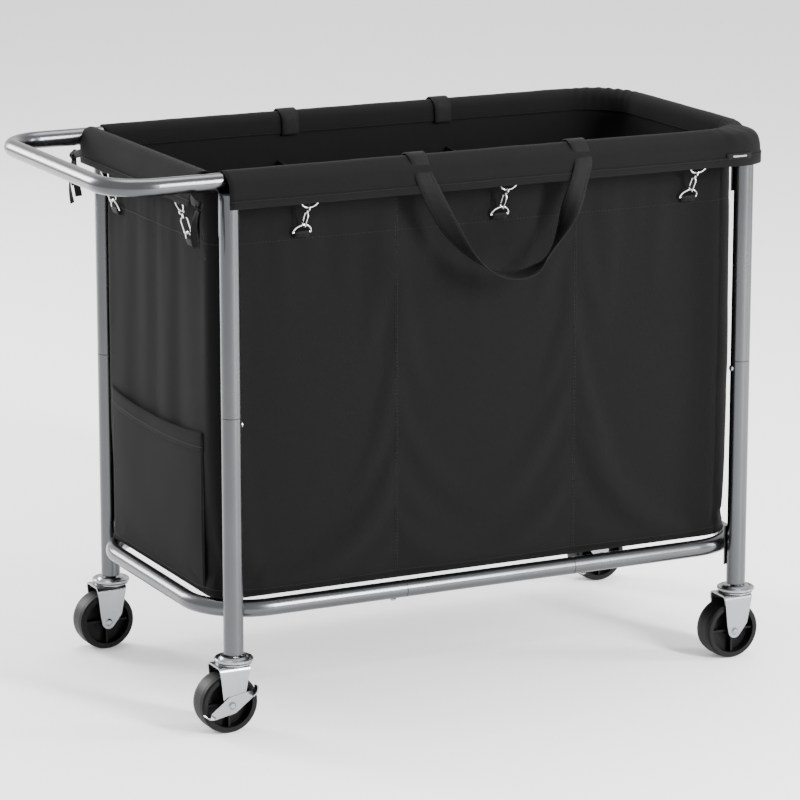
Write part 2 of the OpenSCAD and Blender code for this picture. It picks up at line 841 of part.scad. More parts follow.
// Local frame of a hook set: +Z up along the wall, +X outwards from the wall
module on_wall(side, along) {
    if (side == "front") translate([along, -wall_y, 0]) rotate([0, 0, -90]) children();
    if (side == "back") translate([along, wall_y, 0]) rotate([0, 0, 90]) children();
    if (side == "left") translate([-wall_x, along, 0]) rotate([0, 0, 180]) children();
    if (side == "right") translate([wall_x, along, 0]) children();
}

function long_row(side) = [for (i = [-1 : 1]) [side, cover_mid_x + i * hook_pitch_x]];
function end_row(side) = [for (i = [-1, 1]) [side, i * (side == "left" ? hook_end_y : hook_far_y)]];
HOOKS = concat(long_row("front"), end_row("left"), long_row("back"), end_row("right"));
MOVING_GATES = 5;

function is_long(hook) = hook[0] == "front" || hook[0] == "back";
function upper_bar_out(hook) = (is_long(hook) ? long_out : end_out) - upper_bar_in;
function upper_bar_z(hook) = (hook[0] == "left" ? end_flap_low_z : flap_low_z) + 3;
function set_tilt(hook) = asin((upper_bar_out(hook) - lower_bar_out) / set_length);

// Local frame of one straight set: origin at the upper ring's bar, -Z to the
// lower ring, +X outwards, Y along the wall
module on_set(hook) {
    on_wall(hook[0], hook[1])
        translate([upper_bar_out(hook), 0, upper_bar_z(hook)])
            rotate([0, set_tilt(hook), 0])
                children();
}

// A D-ring in the local YZ plane, its bar on the Y axis and its bow downwards
module d_ring() {
    rotate([0, 90, 0]) rotate([0, 0, -90]) rotate_extrude(angle = 180, $fn = 32)
        translate([ring_r, 0]) circle(r = ring_wire_r, $fn = 16);
    translate([0, -ring_r, 0]) rotate([-90, 0, 0]) cylinder(r = ring_wire_r, h = 2 * ring_r, $fn = 16);
    for (side = [-1, 1]) translate([0, side * ring_r, 0]) sphere(r = ring_wire_r, $fn = 16);
}

module upper_rings() {
    color(zinc) on_frame() for (hook = HOOKS) on_set(hook) rotate([0, 0, 180]) d_ring();
}

module lower_rings() {
    color(zinc) on_frame() for (hook = HOOKS)
        on_set(hook) translate([0, 0, -set_length]) mirror([0, 0, 1]) d_ring();
}

// Fabric loop round a ring's bar, with its tail sewn to the flap or the wall
module tab_loop() {
    tab_w = 18;
    rotate([90, 0, 0]) difference() {
        cylinder(r = ring_wire_r + 1.5, h = tab_w, center = true);
        cylinder(r = ring_wire_r + 0.1, h = tab_w + 2, center = true);
    }
}

module tab_tail(x0, x1, z0, z1) {
    tab_w = 18;
    translate([x0, -tab_w / 2, z0]) cube([x1 - x0, tab_w, z1 - z0]);
}

module ring_tabs() {
    tail = 10;
    hug = ring_wire_r + 0.3;
    color(webbing_black) on_frame() for (hook = HOOKS) {
        on_set(hook) tab_loop();
        on_set(hook) translate([0, 0, -set_length]) tab_loop();
        on_wall(hook[0], hook[1]) {
            translate([upper_bar_out(hook), 0, upper_bar_z(hook)]) tab_tail(hug, hug + 1.4, -1, tail);
            translate([lower_bar_out, 0, upper_bar_z(hook) - set_length * cos(set_tilt(hook))])
                tab_tail(-hug - 1.4, -hug, -tail, 1);
        }
    }
}

// Round wire bent into an arc in the local XZ plane
module wire_arc(r, start, angle) {
    rotate([90, 0, 0])
        rotate_extrude(angle = angle, start = start, $fn = 24)
            translate([r, 0]) circle(r = hook_wire_r, $fn = 16);
}

// Heights in a set: the eye's centre, and the centres of the link's two arcs
eye_z = -ring_r + hook_wire_r + ring_wire_r + ring_gap - hook_eye_r;
link_high = eye_z - hook_eye_r - hook_neck - hook_claw_r;
link_low = -set_length + ring_r - hook_wire_r - ring_wire_r - ring_gap + hook_claw_r;

// Eye round the upper ring, neck, and a long link round the lower ring whose
// outer side is left open for the gate
module snap_hook() {
    translate([0, 0, eye_z]) wire_arc(hook_eye_r, 0, 360);
    translate([0, 0, link_high + hook_claw_r - hook_wire_r])
        cylinder(r = 2, h = hook_neck + 1.5 * hook_wire_r, $fn = 24);
    translate([0, 0, link_high]) wire_arc(hook_claw_r, 0, 180);
    translate([-hook_claw_r, 0, link_low]) cylinder(r = hook_wire_r, h = link_high - link_low, $fn = 16);
    translate([0, 0, link_low]) wire_arc(hook_claw_r, 180, 180);
    translate([hook_claw_r, 0, link_low]) cylinder(r = hook_wire_r, h = hook_nose, $fn = 16);
}

module snap_hooks() {
    color(zinc) on_frame() for (hook = HOOKS) on_set(hook) snap_hook();
}

// Straight bar that closes the link's open side, hinged at its top
module gate() {
    low = link_low + hook_nose + gate_gap;
    translate([hook_claw_r, 0, low]) cylinder(r = gate_r, h = link_high - gate_gap - low, $fn = 16);
}

module fixed_gates() {
    color(zinc) on_frame() for (i = [MOVING_GATES : len(HOOKS) - 1]) on_set(HOOKS[i]) gate();
}

module hook_gate(i) {
    color(zinc) on_frame() on_set(HOOKS[i]) gate();
}

module hook_gate_1() hook_gate(0);

module hook_gate_2() hook_gate(1);

module hook_gate_3() hook_gate(2);

module hook_gate_4() hook_gate(3);

module hook_gate_5() hook_gate(4);

handle_rail();
end_rail();
crossbar();
ring_left();
ring_right();
ring_middle_front();
ring_middle_back();
leg_upper_fl();
leg_upper_fr();
leg_upper_bl();
leg_upper_br();
leg_lower_fl();
leg_lower_fr();
leg_lower_bl();
leg_lower_br();
tube_connectors();
bracket_plates();
frame_screws();
leg_plugs();
stem_sockets();
caster_stems();
fork_fl();
fork_fr();
fork_bl();
fork_br();
axle_fl();
axle_fr();
axle_bl();
axle_br();
wheel_fl();
wheel_fr();
wheel_bl();
wheel_br();
brake_lever_fl();
brake_lever_br();
bag_shell();
floor_board();
divider_left();
divider_right();
side_pocket();
flap_front();
flap_back();
flap_right();
flap_left();
carry_handle_front();
carry_handle_back();
handle_anchors();
tie_straps();
blank_label();
ring_tabs();
upper_rings();
lower_rings();
snap_hooks();
fixed_gates();
hook_gate_1();
hook_gate_2();
hook_gate_3();
hook_gate_4();
hook_gate_5();
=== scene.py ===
"""Rolling laundry sorter: materials, cloth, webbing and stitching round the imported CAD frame."""

import json
import math

import bmesh
import bpy
import numpy as np
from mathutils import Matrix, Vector, noise


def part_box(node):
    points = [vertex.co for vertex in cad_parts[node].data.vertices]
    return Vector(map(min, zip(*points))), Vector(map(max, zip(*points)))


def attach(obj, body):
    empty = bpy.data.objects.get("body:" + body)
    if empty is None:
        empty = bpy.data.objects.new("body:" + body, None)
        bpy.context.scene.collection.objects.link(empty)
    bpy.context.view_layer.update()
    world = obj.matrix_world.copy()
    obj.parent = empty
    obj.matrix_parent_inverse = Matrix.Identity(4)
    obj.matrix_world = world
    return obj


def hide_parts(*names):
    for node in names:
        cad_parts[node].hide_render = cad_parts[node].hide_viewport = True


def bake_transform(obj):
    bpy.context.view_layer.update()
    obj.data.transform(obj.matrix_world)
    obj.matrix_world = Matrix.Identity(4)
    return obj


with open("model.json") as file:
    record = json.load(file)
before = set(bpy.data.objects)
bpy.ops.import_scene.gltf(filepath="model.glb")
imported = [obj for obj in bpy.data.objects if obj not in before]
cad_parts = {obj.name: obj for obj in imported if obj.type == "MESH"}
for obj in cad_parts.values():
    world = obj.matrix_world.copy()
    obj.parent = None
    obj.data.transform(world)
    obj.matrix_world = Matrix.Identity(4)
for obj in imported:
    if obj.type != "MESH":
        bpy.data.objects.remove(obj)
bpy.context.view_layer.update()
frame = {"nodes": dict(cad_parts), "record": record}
MM = 0.001

# ------------------------------------------------------------ sizes read from the frame


def middle(node):
    low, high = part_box(node)
    return (low + high) / 2


RAIL_LOW, RAIL_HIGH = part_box("end_rail")
TUBE_R = (RAIL_HIGH.z - RAIL_LOW.z) / 2
RAIL_Z = (RAIL_HIGH.z + RAIL_LOW.z) / 2
LOOP_Y = RAIL_HIGH.y - TUBE_R
FAR_X = RAIL_HIGH.x - TUBE_R
NEAR_X = middle("crossbar").x
MID_X = (FAR_X + NEAR_X) / 2
BEND_R = FAR_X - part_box("flap_right")[0].x
BAG_LOW, BAG_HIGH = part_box("bag_shell")
LEG_XS = [middle("leg_upper_fl").x, middle("leg_upper_fr").x]
LEG_Y = middle("leg_upper_bl").y
FLAP_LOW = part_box("flap_front")[0]
END_FLAP_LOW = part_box("flap_left")[0].z
END_FLAP_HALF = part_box("flap_left")[1].y
DIVIDER_XS = [middle("divider_left").x, middle("divider_right").x]
DIVIDER_LOW, DIVIDER_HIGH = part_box("divider_left")
POCKET_LOW, POCKET_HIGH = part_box("side_pocket")
HANDLE_LOW, HANDLE_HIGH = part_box("carry_handle_front")

CLOTH_T = 1.4 * MM
# Radius of the inside of the sleeve where it wraps the rail
COVER_R = TUBE_R + 1.1 * MM
# How far the sleeve reaches down inside the bag
INNER_DROP = 15 * MM
# Corners of the bag in plan: at the handle end, and at the far end
BAG_LEFT_R = 30 * MM
BAG_RIGHT_R = 50 * MM
# The seam round the top, and where the far corners widen to follow the rail
SEAM_Z = 605 * MM
NECK_LOW_Z = 650 * MM
NECK_HIGH_Z = 673 * MM
# Size of the cloth's mesh
GRID_STEP = 7 * MM

# Pitch, length and radius of the stitches
SEAM_STITCH = (4.5 * MM, 3.2 * MM, 0.38 * MM)
HEM_STITCH = (4.5 * MM, 3.2 * MM, 0.36 * MM)
DIVIDER_STITCH = (4.5 * MM, 3 * MM, 0.35 * MM)
SLEEVE_STITCH = (4.2 * MM, 3 * MM, 0.36 * MM)
STRAP_STITCH = (4.2 * MM, 2.6 * MM, 0.4 * MM)

# ------------------------------------------------------------ materials


class Graph:
    """A small helper that adds nodes to a material and links them."""

    def __init__(self, name, color, roughness, metallic=0.0):
        self.material = bpy.data.materials.new(name)
        self.material.use_nodes = True
        self.tree = self.material.node_tree
        self.shader = self.tree.nodes["Principled BSDF"]
        self.shader.inputs["Base Color"].default_value = (*color, 1)
        self.shader.inputs["Roughness"].default_value = roughness
        self.shader.inputs["Metallic"].default_value = metallic

    def node(self, kind, **inputs):
        made = self.tree.nodes.new(kind)
        for key, value in inputs.items():
            self.put(made.inputs[key.replace("_", " ")], value)
        return made

    def put(self, socket, value):
        if isinstance(value, bpy.types.NodeSocket):
            self.tree.links.new(value, socket)
        else:
            socket.default_value = value

    def math(self, operation, a, b=None):
        made = self.tree.nodes.new("ShaderNodeMath")
        made.operation = operation
        self.put(made.inputs[0], a)
        if b is not None:
            self.put(made.inputs[1], b)
        return made.outputs[0]

    def place(self, kind):
        """Texture coordinates: "UV" in metres of cloth, or "Object" in the row frame."""
        return self.tree.nodes.new("ShaderNodeTexCoord").outputs[kind]

    def stretched(self, vector, x, y):
        mapping = self.tree.nodes.new("ShaderNodeMapping")
        mapping.inputs["Scale"].default_value = (x, y, 1.0)
        self.put(mapping.inputs["Vector"], vector)
        return mapping.outputs[0]

    def noise(self, vector, scale, detail=3.0, rough=0.55):
        made = self.node("ShaderNodeTexNoise", Scale=scale, Detail=detail, Roughness=rough)
        self.put(made.inputs["Vector"], vector)
        return made.outputs["Fac"]

    def ramp(self, value, low, high):
        made = self.tree.nodes.new("ShaderNodeMapRange")
        self.put(made.inputs["Value"], value)
        made.inputs["To Min"].default_value = low
        made.inputs["To Max"].default_value = high
        return made.outputs["Result"]

    def mix(self, factor, a, b):
        made = self.tree.nodes.new("ShaderNodeMix")
        made.data_type = "RGBA"
        self.put(made.inputs["Factor"], factor)
        made.inputs["A"].default_value = (*a, 1)
        made.inputs["B"].default_value = (*b, 1)
        return made.outputs["Result"]

    def bump(self, height, strength, distance):
        made = self.node("ShaderNodeBump", Strength=strength, Distance=distance)
        self.put(made.inputs["Height"], height)
        self.put(self.shader.inputs["Normal"], made.outputs["Normal"])

    def color(self, socket):
        self.put(self.shader.inputs["Base Color"], socket)

    def roughness(self, socket):
        self.put(self.shader.inputs["Roughness"], socket)

    def constant(self, name, value):
        self.shader.inputs[name].default_value = value


def woven(name, dark, light, pitch, roughness, sheen):
    """Plain-weave cloth: crossing threads, slubs that follow them, and a soft mottle."""
    g = Graph(name, dark, roughness)
    uv = g.place("UV")
    split = g.node("ShaderNodeSeparateXYZ")
    g.put(split.inputs[0], uv)
    turns = math.pi / pitch
    across = g.math("SINE", g.math("MULTIPLY", split.outputs["X"], turns))
    along = g.math("SINE", g.math("MULTIPLY", split.outputs["Y"], turns))
    weave = g.math("MULTIPLY", across, along)
    warp = g.noise(g.stretched(uv, 1, 0.04), 1 / (1.6 * pitch), 2)
    weft = g.noise(g.stretched(uv, 0.04, 1), 1 / (1.6 * pitch), 2)
    slub = g.math("ADD", warp, weft)
    mottle = g.noise(uv, 38, 4)
    wear = g.noise(g.place("Object"), 9, 3)
    shade = g.math("ADD", g.math("MULTIPLY", weave, 0.2), g.math("MULTIPLY", slub, 1.1))
    shade = g.math("ADD", shade, g.math("MULTIPLY", mottle, 0.3))
    shade = g.math("ADD", shade, g.math("MULTIPLY", wear, 0.25))
    g.color(g.mix(g.ramp(shade, -0.95, 0.6), dark, light))
    g.roughness(g.ramp(g.math("ADD", slub, wear), roughness - 0.12, roughness + 0.1))
    g.bump(g.math("ADD", weave, g.math("MULTIPLY", slub, 0.7)), 0.5, 0.22 * pitch)
    g.constant("Sheen Weight", sheen)
    g.constant("Sheen Roughness", 0.45)
    g.constant("Specular IOR Level", 0.09)
    return g.material


def webbing_finish():
    """Webbing: short ribs in a checked weave, lint between them and a semi-matt face."""
    g = Graph("black_webbing", (0.012, 0.012, 0.013), 0.62)
    uv = g.place("UV")
    split = g.node("ShaderNodeSeparateXYZ")
    g.put(split.inputs[0], uv)
    ribs = g.math("SINE", g.math("MULTIPLY", split.outputs["Y"], math.pi / (0.8 * MM)))
    columns = g.math("SINE", g.math("MULTIPLY", split.outputs["X"], math.pi / (1.5 * MM)))
    weave = g.math("MULTIPLY", ribs, columns)
    lint = g.noise(uv, 260, 3)
    shade = g.ramp(g.math("ADD", weave, lint), -0.1, 0.9)
    g.color(g.mix(shade, (0.0005, 0.0005, 0.0005), (0.0028, 0.0028, 0.0029)))
    g.roughness(g.ramp(lint, 0.5, 0.75))
    g.bump(weave, 0.6, 0.25 * MM)
    g.constant("Sheen Weight", 0.01)
    g.constant("Specular IOR Level", 0.1)
    return g.material


def thread_finish(name, lightness):
    """Twisted sewing thread, shaded round its lightness."""
    g = Graph(name, (0.035, 0.035, 0.037), 0.5)
    place = g.place("Object")
    twist = g.noise(place, 1800, 2)
    g.color(g.mix(twist, (0.27 * lightness,) * 3, (lightness,) * 3))
    g.constant("Specular IOR Level", 0.2)
    g.roughness(g.ramp(twist, 0.4, 0.65))
    g.bump(twist, 0.4, 0.15 * MM)
    return g.material


def metal(name, dark, light, roughness, coat, grain):
    """Coated or plated steel: cloudy gloss, fine grain and a few rubbed spots."""
    g = Graph(name, dark, roughness, 1.0)
    place = g.place("Object")
    cloud = g.noise(place, 14, 4)
    fine = g.noise(place, grain, 2)
    rubbed = g.noise(place, 70, 6, 0.7)
    g.color(g.mix(g.ramp(cloud, 0.1, 0.9), dark, light))
    gloss = g.math("ADD", g.math("MULTIPLY", cloud, 0.6), g.math("MULTIPLY", rubbed, 0.4))
    g.roughness(g.ramp(gloss, roughness - 0.08, roughness + 0.1))
    g.bump(fine, 0.12, 0.05 * MM)
    g.constant("Coat Weight", coat)
    g.constant("Coat Roughness", 0.22)
    return g.material


def plastic(name, dark, light, roughness, grain):
    """Moulded plastic: a fine grain, and handling marks in its colour and gloss."""
    g = Graph(name, dark, roughness)
    place = g.place("Object")
    fine = g.noise(place, grain, 2)
    marks = g.noise(place, 55, 5, 0.65)
    g.color(g.mix(g.ramp(marks, 0.0, 1.0), dark, light))
    g.roughness(g.ramp(marks, roughness - 0.1, roughness + 0.12))
    g.bump(fine, 0.25, 0.08 * MM)
    g.constant("Specular IOR Level", 0.14)
    return g.material


THREAD_PITCH = 1.2 * MM
CLOTH = woven("charcoal_cloth", (0.0003, 0.0003, 0.0003), (0.0052, 0.0053, 0.0054),
              THREAD_PITCH, 0.82, 0.015)
LINING = woven("lining_cloth", (0.0002, 0.0002, 0.0002), (0.0026, 0.0026, 0.0026),
               THREAD_PITCH, 0.85, 0.01)
WEBBING = webbing_finish()
THREAD = thread_finish("thread", 0.005)
LIGHT_THREAD = thread_finish("light_thread", 0.32)
STEEL = metal("satin_steel", (0.066, 0.067, 0.071), (0.095, 0.097, 0.102), 0.25, 0.05, 900)
ZINC = metal("zinc_plate", (0.2, 0.205, 0.215), (0.29, 0.3, 0.31), 0.26, 0.0, 1400)
NICKEL = metal("nickel_wire", (0.5, 0.5, 0.49), (0.72, 0.72, 0.71), 0.18, 0.0, 1600)
# Black plastic of the CAD parts; it also paints the shade in the gaps of the tube joints.
PLUG_AND_JOINT_SHADE = plastic("plug_plastic_and_joint_shade", (0.003, 0.003, 0.003), (0.007, 0.007, 0.007), 0.5, 1300)
WHEEL = plastic("wheel_plastic", (0.0006, 0.0006, 0.0006), (0.0022, 0.0022, 0.0023), 0.5, 900)


def dress_cad():
    """Gives every carried-over CAD node its finish."""
    wires = ("upper_rings", "lower_rings", "snap_hooks", "fixed_gates", "hook_gate")
    finishes = {
        "satin_steel": STEEL, "zinc": ZINC, "black_plastic": PLUG_AND_JOINT_SHADE, "wheel_rubber": WHEEL,
        "charcoal_fabric": CLOTH, "black_webbing": WEBBING, "board": LINING, "label": WEBBING,
    }
    slots = {row["node"]: row["material_slot"] for row in frame["record"]["subparts"]}
    for name, obj in frame["nodes"].items():
        finish = finishes[slots[name]]
        if name.startswith(wires):
            finish = NICKEL
        obj.data.materials.clear()
        obj.data.materials.append(finish)


# ------------------------------------------------------------ mesh tools


def mesh_object(name, verts, faces, material, uvs=None, smooth=True):
    """A new object in the scene, with one UV for each vertex if uvs are given."""
    mesh = bpy.data.meshes.new(name)
    mesh.from_pydata([tuple(v) for v in verts], [], faces)
    if uvs is not None:
        layer = mesh.uv_layers.new(name="UVMap")
        for loop in mesh.loops:
            layer.data[loop.index].uv = uvs[loop.vertex_index]
    mesh.materials.append(material)
    obj = bpy.data.objects.new(name, mesh)
    bpy.context.scene.collection.objects.link(obj)
    for polygon in mesh.polygons:
        polygon.use_smooth = smooth
    return obj


def apply_modifiers(obj):
    """Bakes an object's modifiers into its mesh."""
    evaluated = obj.evaluated_get(bpy.context.evaluated_depsgraph_get())
    mesh = bpy.data.meshes.new_from_object(evaluated)
    obj.modifiers.clear()
    obj.data = mesh


def recalculate(obj):
    """Turns every face outwards."""
    bm = bmesh.new()
    bm.from_mesh(obj.data)
    bmesh.ops.recalc_face_normals(bm, faces=bm.faces)
    bm.to_mesh(obj.data)
    bm.free()


def on_frame(obj):
    """Puts a finished piece on the frame's body."""
    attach(obj, "frame")


def thicken(obj, thickness):
    """Turns a sheet of faces into cloth, half of its thickness on each side."""
    solid = obj.modifiers.new("Solidify", "SOLIDIFY")
    solid.thickness = thickness
    solid.offset = 0.0
    apply_modifiers(obj)
    recalculate(obj)


def grid_faces(rows, columns, closed):
    """Quads between rows of vertices; the columns wrap round if closed."""
    last = columns if closed else columns - 1
    return [
        (r * columns + c, r * columns + (c + 1) % columns,
         (r + 1) * columns + (c + 1) % columns, (r + 1) * columns + c)
        for r in range(rows - 1) for c in range(last)
    ]


def arc_lengths(points):
    """Distance along a line of points, from 0 at its first."""
    steps = np.linalg.norm(np.diff(points, axis=0), axis=1)
    return np.concatenate([[0.0], np.cumsum(steps)])


def cloth_grid(name, grid, material, closed=False):
    """A sheet from rows x columns x 3 points, with UVs in metres of cloth."""
    rows, columns, _ = grid.shape
    along = arc_lengths(grid[rows // 2])
    down = arc_lengths(grid[:, columns // 2])
    uvs = [(along[c], down[r]) for r in range(rows) for c in range(columns)]
    return mesh_object(name, grid.reshape(-1, 3), grid_faces(rows, columns, closed), material, uvs)


def grid_of(obj, rows, columns):
    """The rows x columns x 3 points of a sheet that cloth_grid made."""
    return np.array([v.co[:] for v in obj.data.vertices]).reshape(rows, columns, 3)


def tidy_ripple(point, size, seed):
    """A smooth, repeatable unevenness from -1 to 1."""
    return noise.noise(Vector(point) / size + Vector((seed, 2.7 * seed, 0.3)))


def smooth(share):
    """An S-shaped step from 0 to 1."""
    share = min(1.0, max(0.0, share))
    return share * share * (3 - 2 * share)


# ------------------------------------------------------------ paths in plan


def straight(start, end, normal, count):
    """Points and normals along a line in plan, without the last."""
    return [(Vector(start).lerp(Vector(end), i / count), Vector(normal)) for i in range(count)]


def corner(centre, radius, start, step_count):
    """A quarter turn anticlockwise from an angle in degrees."""
    found = []
    for i in range(step_count):
        a = math.radians(start + 90 * i / step_count)
        normal = Vector((math.cos(a), math.sin(a)))
        found.append((Vector(centre) + radius * normal, normal))
    return found


CORNER_STEPS = 12


def bag_loop(inset, right_r, step):
    """Round the bag in plan, from the middle of the handle end, with a fixed number of points."""
    x0, x1 = BAG_LOW.x + inset, BAG_HIGH.x - inset
    y = BAG_HIGH.y - inset
    left_r, far_r = BAG_LEFT_R - inset, right_r - inset
    even = BAG_RIGHT_R - inset
    lengths = (y - left_r, x1 - x0 - left_r - even, 2 * (y - even))
    near, long, far = [max(2, round(length / step)) for length in lengths]
    return (
        straight((x0, 0), (x0, -y + left_r), (-1, 0), near)
        + corner((x0 + left_r, -y + left_r), left_r, 180, CORNER_STEPS)
        + straight((x0 + left_r, -y), (x1 - far_r, -y), (0, -1), long)
        + corner((x1 - far_r, -y + far_r), far_r, 270, CORNER_STEPS)
        + straight((x1, -y + far_r), (x1, y - far_r), (1, 0), far)
        + corner((x1 - far_r, y - far_r), far_r, 0, CORNER_STEPS)
        + straight((x1 - far_r, y), (x0 + left_r, y), (0, 1), long)
        + corner((x0 + left_r, y - left_r), left_r, 90, CORNER_STEPS)
        + straight((x0, y - left_r), (x0, 0), (-1, 0), near)
    )


def rail_loop(step):
    """Along the rail's axis from the front left end, round the far end, to the back left end."""
    start = FLAP_LOW.x
    bend_x, bend_y = FAR_X - BEND_R, LOOP_Y - BEND_R
    long, far = round((bend_x - start) / step), round(2 * bend_y / step)
    found = straight((start, -LOOP_Y), (bend_x, -LOOP_Y), (0, -1), long)
    found += corner((bend_x, -bend_y), BEND_R, 270, 3 * CORNER_STEPS)
    found += straight((FAR_X, -bend_y), (FAR_X, bend_y), (1, 0), far)
    found += corner((bend_x, bend_y), BEND_R, 0, 3 * CORNER_STEPS)
    found += straight((bend_x, LOOP_Y), (start, LOOP_Y), (0, 1), long)
    return found + [(Vector((start, LOOP_Y)), Vector((0, 1)))]


# ------------------------------------------------------------ threads and straps


def along_path(at, total, values):
    """The value of a line of points or normals at a distance along it."""
    return np.array([np.interp(at, total, values[:, axis]) for axis in range(3)])


def stitches(name, path, normals, stitch, body="frame"):
    """A row of short rounded stitches that lies on a surface along a path."""
    pitch, length, radius = stitch
    points, normals = np.asarray(path, float), np.asarray(normals, float)
    total = arc_lengths(points)
    verts, faces = [], []
    rings = ((-0.5, 0.35), (-0.3, 1.0), (0.3, 1.0), (0.5, 0.35))
    sides = 5
    for centre in np.arange(pitch / 2, total[-1] - pitch / 2, pitch):
        base = len(verts)
        for share, fat in rings:
            at = centre + share * length
            point = along_path(at, total, points)
            normal = along_path(at, total, normals)
            ahead = along_path(at + 0.5 * MM, total, points)
            back = along_path(at - 0.5 * MM, total, points)
            tangent = (ahead - back) / np.linalg.norm(ahead - back)
            normal /= np.linalg.norm(normal)
            side = np.cross(tangent, normal)
            lift = point + normal * radius * (0.75 if fat > 0.9 else 0.1)
            for k in range(sides):
                a = 2 * math.pi * k / sides
                verts.append(lift + radius * fat * (math.cos(a) * side + 0.7 * math.sin(a) * normal))
        for r in range(len(rings) - 1):
            for k in range(sides):
                a, b = base + r * sides + k, base + r * sides + (k + 1) % sides
                faces.append((a, b, b + sides, a + sides))
        faces.append(tuple(base + k for k in reversed(range(sides))))
        faces.append(tuple(base + (len(rings) - 1) * sides + k for k in range(sides)))
    obj = mesh_object(name, verts, faces, THREAD)
    recalculate(obj)
    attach(obj, body)
    return obj


def ribbon(name, centres, acrosses, width, thickness, material):
    """A flat strap with rounded edges along a path; acrosses point along its width."""
    centres, acrosses = np.asarray(centres, float), np.asarray(acrosses, float)
    tangents = np.gradient(centres, axis=0)
    along = arc_lengths(centres)
    half_w, half_t = width / 2, thickness / 2
    flat_w = half_w - half_t * 0.7
    outline = [(-half_w, 0), (-flat_w, -half_t), (-half_w / 3, -half_t), (half_w / 3, -half_t),
               (flat_w, -half_t), (half_w, 0), (flat_w, half_t),
               (half_w / 3, half_t), (-half_w / 3, half_t), (-flat_w, half_t)]
    verts, uvs = [], []
    for centre, across, tangent, s in zip(centres, acrosses, tangents, along):
        tangent = tangent / np.linalg.norm(tangent)
        across = across - tangent * np.dot(across, tangent)
        across /= np.linalg.norm(across)
        normal = np.cross(tangent, across)
        for w, t in outline:
            verts.append(centre + across * w + normal * t)
            uvs.append((w, s))
    count = len(outline)
    faces = grid_faces(len(centres), count, True)
    faces.append(tuple(reversed(range(count))))
    faces.append(tuple(range((len(centres) - 1) * count, len(centres) * count)))
    obj = mesh_object(name, verts, faces, material, uvs)
    recalculate(obj)
    return obj


def edge_stitches(name, centres, acrosses, width, thickness, face, body):
    """A stitch row along one edge of a strap, on the face that face (1 or -1) picks."""
    centres, acrosses = np.asarray(centres, float), np.asarray(acrosses, float)
    tangents = np.gradient(centres, axis=0)
    tangents /= np.linalg.norm(tangents, axis=1)[:, None]
    acrosses = acrosses - tangents * np.sum(acrosses * tangents, axis=1)[:, None]
    acrosses /= np.linalg.norm(acrosses, axis=1)[:, None]
    normals = np.cross(tangents, acrosses) * face
    edge = centres + acrosses * (width / 2 - 2.6 * MM) + normals * thickness / 2
    return stitches(name, edge, normals, STRAP_STITCH, body)


# ------------------------------------------------------------ bag


BAG_ROWS = 62
BAG_BULGE = 4.5 * MM
BAG_TOP = RAIL_Z - 4 * MM


def panel_share(x):
    """0 on the divider seams and the bag's corners, 1 in the middle of each panel."""
    edges = [BAG_LOW.x, *DIVIDER_XS, BAG_HIGH.x]
    for low, high in zip(edges, edges[1:]):
        if low <= x <= high:
            return math.sin(math.pi * (x - low) / (high - low)) ** 0.6
    return 0.0


def bag_grid():
    """The hanging wall: nearly flat panels that belly out a little between their seams."""
    inset = CLOTH_T / 2
    neck_r = BEND_R - TUBE_R
    rows = []
    for r in range(BAG_ROWS):
        share = r / (BAG_ROWS - 1)
        z = BAG_LOW.z + 2 * MM + share * (BAG_TOP - BAG_LOW.z - 2 * MM)
        neck = smooth((z - NECK_LOW_Z) / (NECK_HIGH_Z - NECK_LOW_Z))
        belly = math.sin(math.pi * min(1.0, share / 0.93)) ** 0.8
        row = []
        right_r = BAG_RIGHT_R + neck * (neck_r - BAG_RIGHT_R)
        for point, normal in bag_loop(inset, right_r, GRID_STEP):
            on_long_side = abs(normal.y) > 0.99
            puff = panel_share(point.x) if on_long_side else 0.35
            place = (point.x, point.y, z)
            uneven = tidy_ripple(place, 0.09, 1.0) + 0.5 * tidy_ripple(place, 0.035, 2.0)
            out = belly * (BAG_BULGE * puff + 0.9 * MM * uneven)
            out -= 0.8 * MM * math.exp(-(((z - SEAM_Z) / (3 * MM)) ** 2))
            row.append((point.x + normal.x * out, point.y + normal.y * out, z))
        rows.append(row)
    return np.array(rows)


def nearest_column(row, x, side):
    """The grid column nearest to x on the front (-1) or back (1) side."""
    scores = [abs(p[0] - x) + (0 if p[1] * side > 0.15 else 1) for p in row]
    return int(np.argmin(scores))


DRAPE_LIMIT = 4 * MM
DRAPE_FRAMES = 20
DRAPE_GROWTH = 0.003
DRAPE_BENDING = 5.0


def drape(obj, pinned):
    """Lets a grid settle as cloth: pinned holds each vertex from 0 (free) to 1 (fixed), and no
    vertex ends up further than DRAPE_LIMIT from where it started."""
    start = [vertex.co.copy() for vertex in obj.data.vertices]
    group = obj.vertex_groups.new(name="pin")
    for vertex in obj.data.vertices:
        group.add([vertex.index], pinned(vertex.co), "REPLACE")
    cloth = obj.modifiers.new("Cloth", "CLOTH")
    settings = cloth.settings
    settings.vertex_group_mass = "pin"
    settings.quality = 6
    settings.mass = 0.25
    settings.tension_stiffness = 25
    settings.compression_stiffness = 25
    settings.shear_stiffness = 12
    settings.bending_stiffness = DRAPE_BENDING
    settings.shrink_min = -DRAPE_GROWTH
    settings.shrink_max = -DRAPE_GROWTH
    settings.pin_stiffness = 3
    cloth.collision_settings.use_collision = False
    cloth.collision_settings.use_self_collision = False
    cloth.point_cache.frame_start = 1
    cloth.point_cache.frame_end = DRAPE_FRAMES
    for number in range(1, DRAPE_FRAMES + 1):
        bpy.context.scene.frame_set(number)
    apply_modifiers(obj)
    obj.vertex_groups.clear()
    for vertex, before in zip(obj.data.vertices, start):
        moved = vertex.co - before
        if moved.length > DRAPE_LIMIT:
            vertex.co = before + moved * (DRAPE_LIMIT / moved.length)


